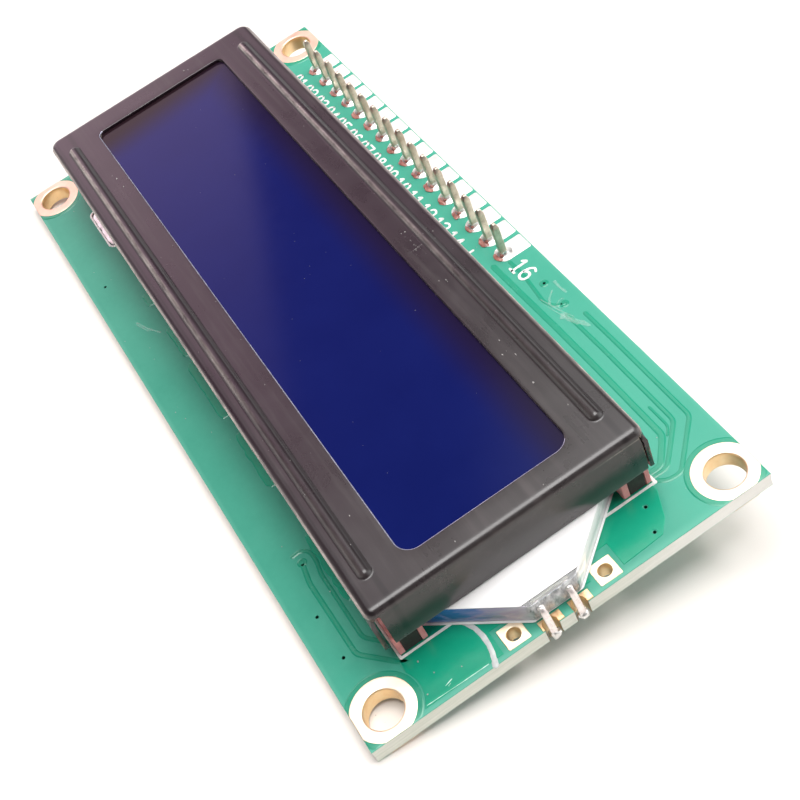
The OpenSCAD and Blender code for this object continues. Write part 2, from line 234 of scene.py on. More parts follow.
M = {}
M["mask"] = mask_material("mask_on_laminate", (0.038, 0.272, 0.190), (0.056, 0.312, 0.222), sheen=0.26)
M["mask_cu"] = mask_material("mask_on_copper", (0.003, 0.250, 0.148), (0.008, 0.310, 0.184), rough=0.16)
M["trace"] = mask_material("mask_on_track", (0.006, 0.215, 0.130), (0.012, 0.250, 0.152), rough=0.22)


def laminate():
    m = Mat("laminate_edge")
    x, y, z = m.xyz()
    weave = m.node("ShaderNodeTexWave", wave_type="BANDS", bands_direction="Z")
    weave.inputs["Scale"].default_value = 900
    weave.inputs["Distortion"].default_value = 3.0
    weave.inputs["Detail"].default_value = 3.0
    weave.inputs["Detail Scale"].default_value = 2.0
    m.link(m.tc.outputs["Object"], weave.inputs["Vector"])
    streak = m.noise(1.0, 4.0, 0.6, m.coords((260, 260, 3500)))
    col = m.ramp(streak, [(0.3, (0.68, 0.70, 0.61)), (0.7, (0.80, 0.81, 0.73))])
    col = m.mix(m.mrange(weave.outputs[1], 0.2, 0.9, 0.0, 0.16), col, (0.58, 0.66, 0.55))
    # painted light: the sawn edge is made paler towards the header's side, standing in for the stronger light there
    col = m.mix(m.mrange(y, 0.0, 0.014, 0.0, 0.85, True), col, (0.96, 0.96, 0.92))
    # green bleed at the two faces
    top = m.mrange(z, -0.00022, 0.0, 0.0, 0.40, True)
    bot = m.mrange(z, -0.0016, -0.00142, 0.6, 0.0, True)
    col = m.mix(m.math("MAXIMUM", top, bot), col, (0.42, 0.62, 0.50))
    m.color(col)
    m.set(Roughness=0.62, Specular_IOR_Level=0.35)
    n = m.bump(streak, 0.3, 0.00003)
    m.normal(m.bump(m.noise(2600, 4.0, 0.7), 0.3, 0.00003, n))
    return m


M["laminate"] = laminate()


def metal(name, lo, hi, rough, scale=420, bump=0.25, dist=0.00003, stain=None, far=None, body=1.0):
    m = Mat(name)
    col = m.ramp(m.noise(scale, 4.0, 0.6), [(0.3, lo), (0.7, hi)])
    # painted reflection: far rings get a darker, coppery colour and near rings a pale one, standing in for the light
    # the near rings catch
    if far:
        x, y, z = m.xyz()
        col = m.mix(m.mrange(x, -0.030, 0.0, 1.0, 0.0, True), col, m.ramp(m.noise(scale, 4.0, 0.6), [(0.3, far[0]), (0.7, far[1])]))
    if stain:
        col = m.mix(m.mrange(m.noise(scale * 2.7, 4.0, 0.7), 0.52, 0.72, 0.0, 0.6), col, stain)
    m.color(col)
    m.rough(m.mrange(m.noise(scale * 1.9, 3.0), 0.3, 0.7, rough[0], rough[1]))
    m.set(Metallic=body)
    n = m.bump(m.noise(scale * 1.3, 3.0), bump, dist)
    m.normal(m.bump(m.noise(scale * 9, 3.0), bump * 0.6, dist * 0.3, n))
    return m


M["ring"] = metal("ring_plating", (0.93, 0.73, 0.54), (0.98, 0.85, 0.68), (0.42, 0.52), far=((0.86, 0.55, 0.42), (0.94, 0.70, 0.56)))
M["barrel"] = metal("barrel_plating", (0.88, 0.62, 0.32), (0.96, 0.78, 0.50), (0.34, 0.48), 900)
M["gold"] = metal("gold_pad_plating", (0.93, 0.72, 0.46), (0.99, 0.86, 0.66), (0.34, 0.48), 600)
M["gold_edge"] = metal("edge_pad_plating", (0.70, 0.42, 0.22), (0.93, 0.68, 0.42), (0.34, 0.5), 1500, stain=(0.36, 0.20, 0.11))
M["tin"] = metal("tinned_pad_finish", (0.86, 0.85, 0.82), (0.95, 0.94, 0.91), (0.34, 0.5), 500, 0.4, body=0.6)
M["solder"] = metal("solder_joint", (0.70, 0.68, 0.65), (0.92, 0.91, 0.89), (0.22, 0.38), 700, 0.4, body=0.8)
M["lead"] = metal("led_lead_metal", (0.84, 0.76, 0.74), (0.97, 0.92, 0.90), (0.30, 0.46), 1500, 0.5, stain=(0.55, 0.42, 0.40), body=0.8)
M["pin"] = metal("pin_plating", (0.52, 0.43, 0.34), (0.80, 0.73, 0.62), (0.34, 0.5), 800, 0.3,
                 stain=(0.36, 0.28, 0.22))
M["finger"] = metal("contact_plating", (0.85, 0.62, 0.30), (0.95, 0.76, 0.42), (0.25, 0.4), 700)
M["terminal"] = metal("chip_end_metal", (0.70, 0.70, 0.70), (0.88, 0.88, 0.88), (0.3, 0.45), 900)


def bezel_paint():
    """Semi-gloss black paint: brown-violet cast, fine orange peel, rubbed streaks, with painted light: highlights
    along the beads and folds, shade at the beads' feet.
    """
    m = Mat("bezel_black_paint")
    x, y, z = m.xyz()
    tint = m.noise(60, 3.0, 0.5)
    fine = m.noise(2600, 4.0, 0.65)
    col = m.ramp(tint, [(0.3, (0.0215, 0.0098, 0.0165)), (0.7, (0.0275, 0.0128, 0.0210))])
    # painted light: the paint turns lighter and less violet towards the near, header-side corner, standing in for the
    # sheen there
    col = m.mix(m.mrange(m.math("ADD", x, m.math("MULTIPLY", y, 0.6)), 0.0, 0.036, 0.0, 1.0, True), col,
                m.ramp(tint, [(0.3, (0.0215, 0.0170, 0.0180)), (0.7, (0.0270, 0.0220, 0.0225))]))
    streak = m.noise(1.0, 4.0, 0.65, m.coords((45, 900, 900)))
    col = m.mix(m.mrange(streak, 0.50, 0.74, 0.0, 0.55), col, (0.056, 0.044, 0.045))
    # painted shade: a darker line at the beads' header-side feet and at the start of the -Y fold
    painted_foot_shade = None
    for c0 in (-0.0112, 0.00935):
        d = m.math("ABSOLUTE", m.math("SUBTRACT", y, c0 + 0.00042))
        f = m.mrange(d, 0.00010, 0.00038, 1.0, 0.0, True)
        painted_foot_shade = f if painted_foot_shade is None else m.math("MAXIMUM", painted_foot_shade, f)
    painted_foot_shade = m.math("MAXIMUM", painted_foot_shade, m.mrange(m.math("ABSOLUTE", m.math("SUBTRACT", y, -0.01243)), 0.00010, 0.00030, 1.0, 0.0, True))
    col = m.mix(m.math("MULTIPLY", painted_foot_shade, 0.7), col, (0.006, 0.0032, 0.0045))
    speck = m.node("ShaderNodeTexVoronoi", feature="F1")
    speck.inputs["Scale"].default_value = 520
    speck.inputs["Randomness"].default_value = 1.0
    m.link(m.tc.outputs["Object"], speck.inputs["Vector"])
    tiny = m.mrange(speck.outputs["Distance"], 0.0, 0.05, 1.0, 0.0)
    sel = m.mrange(m.noise(330, 2.0), 0.60, 0.66, 0.0, 1.0)
    col = m.mix(m.math("MULTIPLY", m.math("MULTIPLY", tiny, sel), 0.3), col, (0.25, 0.23, 0.22))
    brk = m.mrange(m.noise(1.0, 3.0, 0.6, m.coords((500, 1800, 1800))), 0.34, 0.56, 0.35, 1.0)
    # painted highlight: a pale rubbed-paint line just beside the beads' crests, strongest at the far end, stands in
    # for the bright line of light along them
    crest_highlight = None
    for c0 in (-0.0112, 0.00935):
        d = m.math("ABSOLUTE", m.math("SUBTRACT", y, c0 - 0.00031))
        f = m.mrange(d, 0.00008, 0.00028, 1.0, 0.0, True)
        crest_highlight = f if crest_highlight is None else m.math("MAXIMUM", crest_highlight, f)
    crest_highlight = m.math("MULTIPLY", m.math("MULTIPLY", crest_highlight, m.mrange(z, 0.00730, 0.00738, 0.0, 1.0, True)), brk)
    crest_highlight = m.math("MULTIPLY", crest_highlight, m.mrange(x, -0.036, 0.004, 0.95, 0.50, True))
    crest_highlight = m.math("MULTIPLY", crest_highlight, m.mrange(x, 0.004, 0.017, 1.0, 0.12, True))
    g = m.node("ShaderNodeNewGeometry")
    gs = m.node("ShaderNodeSeparateXYZ")
    m.link(g.outputs["Normal"], gs.inputs[0])
    # painted highlight: pale paint on the steep sides of the long folds, chosen by the surface's normal, stands in for
    # their bright edge line
    side = m.mrange(m.math("ABSOLUTE", gs.outputs[1]), 0.58, 0.80, 0.0, 1.0, True)
    side = m.math("MULTIPLY", side, m.mrange(z, 0.00640, 0.00658, 0.0, 1.0, True))
    side = m.math("MULTIPLY", side, m.mrange(z, 0.00704, 0.00712, 1.0, 0.0, True))
    side = m.math("MULTIPLY", m.math("MULTIPLY", side, brk), 0.9)
    # painted highlight: a pale line along the header side's fold stands in for the light caught there
    fold_highlight = m.math("MULTIPLY", m.mrange(gs.outputs[1], 0.28, 0.55, 0.0, 1.0, True), m.mrange(y, 0.0104, 0.0108, 0.0, 1.0, True))
    fold_highlight = m.math("MULTIPLY", m.math("MULTIPLY", fold_highlight, m.mrange(z, 0.00662, 0.00682, 0.0, 1.0, True)), brk)
    fold_highlight = m.math("MULTIPLY", fold_highlight, m.mrange(x, -0.036, 0.014, 0.60, 0.10, True))
    wear_and_highlight = m.math("MAXIMUM", m.math("MULTIPLY", crest_highlight, 0.88), m.math("MULTIPLY", side, 0.8))
    wear_and_highlight = m.math("MAXIMUM", wear_and_highlight, fold_highlight)
    burr = m.mrange(m.math("ABSOLUTE", m.math("SUBTRACT", z, 0.00645)), 0.00003, 0.00009, 0.6, 0.0, True)
    burr = m.math("MULTIPLY", burr, m.mrange(x, 0.03500, 0.03508, 0.0, 1.0))
    burr = m.math("MULTIPLY", m.math("MULTIPLY", burr, brk), m.mrange(y, 0.0062, 0.0086, 0.0, 0.6))
    wear_and_highlight = m.math("MAXIMUM", wear_and_highlight, burr)
    # the pale paint here is partly rubbed wear (the burr) and partly painted highlight (crests and folds)
    col = m.mix(wear_and_highlight, col, m.ramp(m.noise(900, 3.0), [(0.3, (0.41, 0.350, 0.325)), (0.7, (0.62, 0.545, 0.515))]))
    m.link(m.math("MULTIPLY", wear_and_highlight, 0.72), m.b.inputs["Metallic"])
    m.color(col)
    r = m.mrange(m.noise(240, 4.0, 0.6), 0.3, 0.7, 0.25, 0.33)
    m.rough(m.math("ADD", r, m.mrange(streak, 0.5, 0.8, 0.0, 0.06)))
    m.set(Specular_IOR_Level=0.68)
    n = m.bump(fine, 0.10, 0.000010)
    m.normal(m.bump(m.noise(210, 2.0), 0.10, 0.00008, n))
    return m


M["bezel"] = bezel_paint()


def polariser():
    """Blue display face. Painted shade: it darkens to brown under the window's far and header-side edges, where the
    bezel shades it.
    """
    m = Mat("display_face")
    x, y, z = m.xyz()
    n = m.noise(140, 3.0, 0.5)
    col = m.ramp(n, [(0.3, (0.0026, 0.0076, 0.080)), (0.7, (0.0038, 0.0096, 0.092))])
    lw = m.node("ShaderNodeLayerWeight")
    lw.inputs["Blend"].default_value = 0.30
    col = m.mix(m.mrange(lw.outputs["Facing"], 0.05, 0.40, 0.0, 0.6), col, (0.016, 0.013, 0.112))
    # painted shade towards the window's far edge and header-side edge
    far = m.mrange(m.math("ADD", x, m.mrange(y, -0.008, 0.007, -0.0006, 0.0010)), -0.0324, -0.0274, 1.0, 0.0, True)
    side = m.mrange(y, 0.0026, 0.0068, 0.0, 0.70, True)
    edge = m.math("MAXIMUM", far, side)
    col = m.mix(edge, col, (0.018, 0.0085, 0.012))
    m.color(col)
    m.rough(m.mrange(m.noise(900, 3.0), 0.3, 0.7, 0.065, 0.085))
    m.set(Specular_IOR_Level=0.15)
    m.normal(m.bump(m.noise(3500, 3.0), 0.05, 0.000006))
    return m


M["polariser"] = polariser()
M["glass"] = simple("display_glass_blue", (0.010, 0.016, 0.11), (0.016, 0.022, 0.14), 200, (0.05, 0.1))
M["core"] = simple("contact_rubber", (0.020, 0.015, 0.015), (0.042, 0.032, 0.030), 700, (0.5, 0.7),
                   bump=(0.5, 5000, 0.00003))


def sponge():
    m = Mat("pink_sponge")
    fine = m.noise(4200, 4.0, 0.7)
    col = m.ramp(m.noise(900, 4.0, 0.6), [(0.3, (0.78, 0.265, 0.275)), (0.7, (0.92, 0.42, 0.42))])
    col = m.mix(m.mrange(fine, 0.55, 0.75, 0.0, 0.4), col, (0.90, 0.52, 0.52))
    m.color(col)
    m.set(Roughness=0.8, Specular_IOR_Level=0.2, Subsurface_Weight=0.15, Subsurface_Scale=0.0006)
    m.normal(m.bump(fine, 0.6, 0.00005))
    return m


M["sponge"] = sponge()


def acrylic_side():
    """The polished flanks, whose colours are painted reflections: blue, then lilac, then clear, and pale on the header
    side.
    """
    m = Mat("acrylic_flank")
    x, y, z = m.xyz()
    wob = m.mrange(m.noise(1.0, 3.0, 0.5, m.coords((900, 900, 3200))), 0.3, 0.7, -0.0005, 0.0005)
    xx = m.math("ADD", x, wob)
    lower = m.ramp(m.mrange(xx, 0.0335, 0.0392, 0.0, 1.0),
                   [(0.0, (0.030, 0.16, 0.48)), (0.32, (0.055, 0.17, 0.46)), (0.50, (0.24, 0.24, 0.50)), (0.62, (0.36, 0.32, 0.47)),
                    (0.80, (0.42, 0.39, 0.48)), (1.0, (0.50, 0.50, 0.53))])
    upper = m.ramp(m.mrange(xx, 0.0335, 0.0392, 0.0, 1.0), [(0.0, (0.40, 0.39, 0.43)), (0.35, (0.80, 0.80, 0.80)), (1.0, (0.93, 0.94, 0.93))])
    # painted light: the header-side flank is made pale and the other blue to lilac, standing in for what each reflects
    col = m.mix(m.mrange(y, -0.0003, 0.0009, 0.0, 1.0, True), lower, upper)
    tip = m.mrange(x, 0.0386, 0.0388, 0.0, 1.0)
    col = m.mix(tip, col, m.ramp(m.noise(1.0, 4.0, 0.7, m.coords((2500, 2500, 900))), [(0.35, (0.16, 0.17, 0.18)), (0.65, (0.66, 0.67, 0.68))]))
    band = m.mrange(z, 0.00015, 0.00045, 0.75, 0.0, True)
    col = m.mix(band, col, (0.72, 0.71, 0.74))
    m.color(col)
    m.rough(m.mrange(m.noise(1500, 4.0, 0.6), 0.35, 0.75, 0.06, 0.20))
    m.set(Specular_IOR_Level=0.5)
    m.normal(m.bump(m.noise(900, 3.0), 0.12, 0.00003))
    return m


def acrylic():
    m = Mat("clear_acrylic")
    n = m.noise(500, 3.0)
    m.color(m.ramp(n, [(0.3, (0.90, 0.93, 0.96)), (0.7, (0.96, 0.97, 0.98))]))
    m.rough(m.mrange(m.noise(1500, 4.0, 0.6), 0.35, 0.75, 0.02, 0.10))
    m.set(IOR=1.49, Transmission_Weight=0.9, Specular_IOR_Level=0.5)
    m.normal(m.bump(m.noise(800, 3.0), 0.10, 0.00003))
    return m


M["acrylic"] = acrylic()
M["flank"] = acrylic_side()


def film():
    m = Mat("white_film")
    n = m.noise(160, 3.0)
    m.color(m.ramp(n, [(0.3, (0.90, 0.89, 0.89)), (0.7, (0.95, 0.95, 0.95))]))
    m.rough(m.mrange(m.noise(800, 3.0), 0.3, 0.7, 0.45, 0.55))
    m.normal(m.bump(m.noise(260, 2.0), 0.2, 0.00008))
    return m


M["film"] = film()
M["silk"] = simple("white_print", (0.76, 0.78, 0.75), (0.92, 0.93, 0.91), 1800, (0.5, 0.65),
                   bump=(0.4, 5200, 0.00002))
M["silk_grey"] = simple("grey_print", (0.42, 0.44, 0.44), (0.56, 0.58, 0.57), 1500, (0.35, 0.5),
                        bump=(0.3, 4200, 0.00002))
M["plastic"] = simple("header_plastic_black", (0.010, 0.010, 0.011), (0.022, 0.022, 0.023), 900, (0.35, 0.5),
                      bump=(0.25, 3800, 0.00002))
M["resin"] = simple("potting_resin", (0.010, 0.010, 0.011), (0.020, 0.019, 0.020), 300, (0.28, 0.42),
                    bump=(0.3, 900, 0.00008))
M["chip_black"] = simple("chip_body_dark", (0.012, 0.012, 0.015), (0.03, 0.03, 0.034), 1200, (0.3, 0.45))
M["chip_tan"] = simple("chip_body_tan", (0.40, 0.28, 0.16), (0.52, 0.38, 0.24), 1200, (0.4, 0.55))
M["led"] = simple("led_resin", (0.80, 0.78, 0.55), (0.92, 0.90, 0.72), 900, (0.15, 0.25))
M["dust"] = simple("pale_dust", (0.22, 0.21, 0.20), (0.42, 0.41, 0.40), 4000, (0.7, 0.9))
# pale lip paint: partly a bare edge, partly a painted highlight
M["edge"] = simple("lip_wear_and_highlight", (0.28, 0.28, 0.38), (0.50, 0.50, 0.62), 1600, (0.25, 0.4), metallic=0.6)
M["haze"] = simple("mask_haze", (0.50, 0.80, 0.70), (0.74, 0.90, 0.84), 1500, (0.3, 0.5), Alpha=0.20)
M["scuff"] = simple("scuffed_mask", (0.34, 0.66, 0.54), (0.62, 0.82, 0.74), 2500, (0.35, 0.6),
                    bump=(0.5, 5200, 0.00002))
M["residue"] = simple("flux_residue", (0.26, 0.090, 0.070), (0.55, 0.26, 0.21), 1400, (0.14, 0.3))
M["pit"] = simple("hole_wall_dark", (0.006, 0.05, 0.03), (0.012, 0.09, 0.055), 1400, (0.4, 0.6))


def mats(*keys):
    return [M[k].m for k in keys]


def dress(node, *keys):
    ob = NODES[node]
    ob.data.materials.clear()
    for k in keys:
        ob.data.materials.append(M[k].m)


# ------------------------------------------------------------------
# mesh helpers
# ------------------------------------------------------------------


def add(name, verts, faces, keys, slot, fmats=None, smooth=True, sharp=38.0, replaces=()):
    """A mesh piece from millimetre coordinates, riding on the one body."""
    me = bpy.data.meshes.new(name)
    me.from_pydata([(v[0] * MM, v[1] * MM, v[2] * MM) for v in verts], [], [tuple(f) for f in faces])
    for k in keys:
        me.materials.append(M[k].m)
    if fmats:
        for p, i in zip(me.polygons, fmats):
            p.material_index = i
    me.update()
    if smooth:
        for p in me.polygons:
            p.use_smooth = True
        me.set_sharp_from_angle(angle=math.radians(sharp))
    ob = bpy.data.objects.new(name, me)
    scene.collection.objects.link(ob)
    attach(ob, "root")
    if replaces:
        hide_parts(*replaces)
    return ob


class Build:
    """Collects vertices and faces for one mesh."""

    def __init__(self):
        self.v, self.f, self.m = [], [], []

    def pts(self, pts):
        i = len(self.v)
        self.v += [tuple(p) for p in pts]
        return list(range(i, i + len(pts)))

    def face(self, f, m=0):
        self.f.append(tuple(f))
        self.m.append(m)

    def ring(self, a, b, m=0, closed=True):
        n = len(a)
        for i in range(n if closed else n - 1):
            j = (i + 1) % n
            self.face((a[i], a[j], b[j], b[i]), m)

    def cap(self, a, m=0, flip=False):
        self.face(tuple(reversed(a)) if flip else tuple(a), m)

    def fan(self, a, c, m=0, flip=False):
        n = len(a)
        for i in range(n):
            j = (i + 1) % n
            self.face((a[j], a[i], c) if flip else (a[i], a[j], c), m)

    def make(self, name, keys, slot, **kw):
        return add(name, self.v, self.f, keys, slot, fmats=self.m, **kw)


def area2(p):
    return sum(p[i][0] * p[(i + 1) % len(p)][1] - p[(i + 1) % len(p)][0] * p[i][1] for i in range(len(p)))


def ccw(p):
    return list(p) if area2(p) > 0 else list(reversed(p))


def offset(poly, d):
    """Moves a counter-clockwise outline outwards by d, with mitred corners."""
    n, out = len(poly), []
    for i in range(n):
        p0, p1, p2 = poly[i - 1], poly[i], poly[(i + 1) % n]
        a = (p1[0] - p0[0], p1[1] - p0[1])
        b = (p2[0] - p1[0], p2[1] - p1[1])
        la, lb = math.hypot(*a) or 1e-9, math.hypot(*b) or 1e-9
        na, nb = (a[1] / la, -a[0] / la), (b[1] / lb, -b[0] / lb)
        mx, my = na[0] + nb[0], na[1] + nb[1]
        l2 = mx * mx + my * my
        if l2 < 0.3:
            l2 = 0.3
        out.append((p1[0] + mx * d * 2 / l2, p1[1] + my * d * 2 / l2))
    return out


def circle(cx, cy, r, n=32, a0=0.0):
    return [(cx + r * math.cos(a0 + 2 * math.pi * i / n), cy + r * math.sin(a0 + 2 * math.pi * i / n))
            for i in range(n)]


def rounded_rect(x0, x1, y0, y1, r, n=6):
    rr = r if isinstance(r, (list, tuple)) else (r,) * 4
    out = []
    for (cx, cy, a, q) in ((x1 - rr[0], y0 + rr[0], -90, rr[0]), (x1 - rr[1], y1 - rr[1], 0, rr[1]),
                           (x0 + rr[2], y1 - rr[2], 90, rr[2]), (x0 + rr[3], y0 + rr[3], 180, rr[3])):
        for i in range(n + 1):
            t = math.radians(a + 90 * i / n)
            out.append((cx + q * math.cos(t), cy + q * math.sin(t)))
    return out


def slot_outline(x, y, l, w, n=8):
    return rounded_rect(x - l / 2, x + l / 2, y - w / 2, y + w / 2, w / 2 - 1e-4, n)


def inside(p, poly):
    x, y = p
    c = False
    j = len(poly) - 1
    for i in range(len(poly)):
        xi, yi = poly[i]
        xj, yj = poly[j]
        if (yi > y) != (yj > y) and x < (xj - xi) * (y - yi) / (yj - yi) + xi:
            c = not c
        j = i
    return c


def fill(outer, holes, extra=()):
    """Triangles (as indices into outer + holes + extra) that cover outer less its holes."""
    pts, edges = [], []
    for loop in [outer] + list(holes):
        i0, n = len(pts), len(loop)
        pts += list(loop)
        edges += [(i0 + i, i0 + (i + 1) % n) for i in range(n)]
    pts += list(extra)
    res = delaunay_2d_cdt([Vector(p) for p in pts], edges, [], 0, 1e-7)
    vco, tris, orig = res[0], res[2], res[3]
    back = [o[0] if o else -1 for o in orig]
    out = []
    for t in tris:
        c = (sum(vco[i][0] for i in t) / 3, sum(vco[i][1] for i in t) / 3)
        if not inside(c, outer) or any(inside(c, h) for h in holes):
            continue
        ids = [back[i] for i in t]
        if -1 in ids or len(set(ids)) < 3:
            continue
        a, b, d = (pts[i] for i in ids)
        if (b[0] - a[0]) * (d[1] - a[1]) - (b[1] - a[1]) * (d[0] - a[0]) < 0:
            ids.reverse()
        out.append(ids)
    return out


def plate(B, outline, holes, z0, z1, bevel=0.05, m_top=0, m_side=None, m_bot=None, drop=None, bottom=False):
    """A flat piece with a bevelled upper edge, from z0 up to z1."""
    outline = ccw(outline)
    holes = [ccw(h) for h in holes]
    m_side = m_top if m_side is None else m_side
    drop = (z1 - z0) if drop is None else drop
    top = [offset(outline, -bevel)] + [offset(h, bevel) for h in holes]
    low = [outline] + holes
    it = [B.pts([(x, y, z1) for x, y in lp]) for lp in top]
    il = [B.pts([(x, y, z1 - drop) for x, y in lp]) for lp in low]
    flat = [i for lp in it for i in lp]
    for t in fill(top[0], top[1:]):
        B.face([flat[i] for i in t], m_top)
    for k, (a, b) in enumerate(zip(il, it)):
        if k == 0:
            B.ring(a, b, m_side)
        else:
            B.ring(list(reversed(a)), list(reversed(b)), m_side)
    if z1 - drop > z0 + 1e-6:
        ib = [B.pts([(x, y, z0) for x, y in lp]) for lp in low]
        for k, (a, b) in enumerate(zip(ib, il)):
            if k == 0:
                B.ring(a, b, m_side)
            else:
                B.ring(list(reversed(a)), list(reversed(b)), m_side)
        il = ib
    if bottom:
        flat = [i for lp in il for i in lp]
        for t in fill(low[0], low[1:]):
            B.face([flat[i] for i in reversed(t)], m_side if m_bot is None else m_bot)


def densify(pts, step):
    out = [pts[0]]
    for a, b in zip(pts, pts[1:]):
        n = max(1, int(math.hypot(b[0] - a[0], b[1] - a[1]) / step))
        out += [(a[0] + (b[0] - a[0]) * i / n, a[1] + (b[1] - a[1]) * i / n) for i in range(1, n + 1)]
    return out


def round_path(pts, r):
    """Rounds the corners of an open path."""
    out = [pts[0]]
    for p0, p1, p2 in zip(pts, pts[1:], pts[2:]):
        a = Vector((p0[0] - p1[0], p0[1] - p1[1]))
        b = Vector((p2[0] - p1[0], p2[1] - p1[1]))
        q = min(r, a.length * 0.45, b.length * 0.45)
        s, e, c = Vector(p1) + a.normalized() * q, Vector(p1) + b.normalized() * q, Vector(p1)
        for i in range(6):
            t = i / 5
            v = s * (1 - t) ** 2 + c * 2 * t * (1 - t) + e * t * t
            out.append((v.x, v.y))
    out.append(pts[-1])
    return out


def ribbon(B, path, w, z0, z1, bevel=0.05, m=0, wob=0.0, closed=False):
    """A raised line that follows a flat path, with round ends and a bevelled section."""
    hw = w / 2
    pts = list(path)
    if closed:
        pts = pts + [pts[0]]
    n = len(pts)
    secs = []
    for i in range(n):
        if closed:
            a, b = pts[(i - 1) % (n - 1)], pts[(i + 1) % (n - 1)]
        else:
            a, b = pts[max(0, i - 1)], pts[min(n - 1, i + 1)]
        d = Vector((b[0] - a[0], b[1] - a[1]))
        d = d.normalized() if d.length > 1e-9 else Vector((1, 0))
        secs.append((pts[i], d, hw))
    if not closed:
        def end(p, d, sign):
            out = []
            for k in range(1, 5):
                t = math.radians(90 * k / 4)
                s = hw * math.sin(t)
                out.append(((p[0] + sign * d.x * s, p[1] + sign * d.y * s), d, max(hw * math.cos(t), bevel * 0.2)))
            return out
        head = end(secs[0][0], secs[0][1], -1)
        tail = end(secs[-1][0], secs[-1][1], 1)
        secs = list(reversed(head)) + secs + tail
    rows = []
    for (p, d, h) in secs:
        nx, ny = -d.y, d.x
        h2 = h + (mnoise.noise(Vector((p[0] * 2.1, p[1] * 2.1, 0.3))) * wob if wob else 0)
        bv = min(bevel, h2 * 0.8)
        rows.append(B.pts([(p[0] + nx * h2, p[1] + ny * h2, z0), (p[0] + nx * (h2 - bv), p[1] + ny * (h2 - bv), z1),
                           (p[0] - nx * (h2 - bv), p[1] - ny * (h2 - bv), z1), (p[0] - nx * h2, p[1] - ny * h2, z0)]))
    for a, b in zip(rows, rows[1:]):
        for k in range(3):
            B.face((a[k], a[k + 1], b[k + 1], b[k]), m)
    if not closed:
        B.face(tuple(rows[0]), m)
        B.face(tuple(reversed(rows[-1])), m)


def blob(B, c, r, seed, m=0, squash=(1, 1, 1), n=10, rough=0.25, zmin=None):
    """Small lumpy closed shape."""
    rings = max(4, n // 2 + 1)
    rows = []
    for i in range(1, rings):
        th = math.pi * i / rings
        row = []
        for j in range(n):
            ph = 2 * math.pi * j / n
            d = Vector((math.sin(th) * math.cos(ph), math.sin(th) * math.sin(ph), math.cos(th)))
            k = r * (1 + rough * mnoise.noise(d * 1.6 + Vector((seed * 3.1, seed * 1.7, seed))))
            z = c[2] + d.z * k * squash[2]
            if zmin is not None:
                z = max(z, zmin)
            row.append((c[0] + d.x * k * squash[0], c[1] + d.y * k * squash[1], z))
        rows.append(B.pts(row))
    top = B.pts([(c[0], c[1], c[2] + r * squash[2])])[0]
    zb = c[2] - r * squash[2]
    bot = B.pts([(c[0], c[1], zb if zmin is None else max(zb, zmin))])[0]
    B.fan(rows[0], top, m)
    for a, b in zip(rows, rows[1:]):
        B.ring(b, a, m)
    B.fan(rows[-1], bot, m, flip=True)


# ------------------------------------------------------------------
# circuit board: one body with its holes, sawn edges and mask faces
# ------------------------------------------------------------------

VIAS = [(36.2, 9.2), (38.42, 8.4), (22.25, -14.72), (14.98, 16.15), (11.76, 16.17), (27.46, -16.04),
        (-20.4, -16.2), (-6.2, 13.1), (-34.9, 3.1), (31.93, -16.01)]
NOTCH = [-2.0, 0.57]
NX, NR = 39.7, 0.65


def board_outline():
    hx, hy = 40.0, 18.0
    pts = []

    def run(a, b, step=0.8):
        n = max(1, int(math.hypot(b[0] - a[0], b[1] - a[1]) / step))
        for i in range(n):
            pts.append((a[0] + (b[0] - a[0]) * i / n, a[1] + (b[1] - a[1]) * i / n))
    run((-hx, -hy), (hx, -hy))
    cur = (hx, -hy)
    for y in NOTCH:
        run(cur, (hx, y - NR))
        pts.append((hx, y - NR))
        for i in range(11):
            t = math.radians(-90 - 180 * i / 10)
            pts.append((NX + NR * math.cos(t), y + NR * math.sin(t)))
        cur = (hx, y + NR)
    run(cur, (hx, hy))
    run((hx, hy), (-hx, hy))
    run((-hx, hy), (-hx, -hy))
    return pts


def jitter(poly, z, amp):
    out = []
    for x, y in poly:
        k = 0.5 + 0.5 * mnoise.noise(Vector((x * 0.9, y * 0.9, z * 2.3 + 4.0)))
        k = amp * min(1.0, max(0.0, k + 0.35 * mnoise.noise(Vector((x * 3.1, y * 3.1, z + 9)))))
        nx = x - (k if abs(abs(x) - 40) < 1e-6 else 0) * (1 if x > 0 else -1)
        ny = y - (k if abs(abs(y) - 18) < 1e-6 else 0) * (1 if y > 0 else -1)
        out.append((nx, ny))
    return out


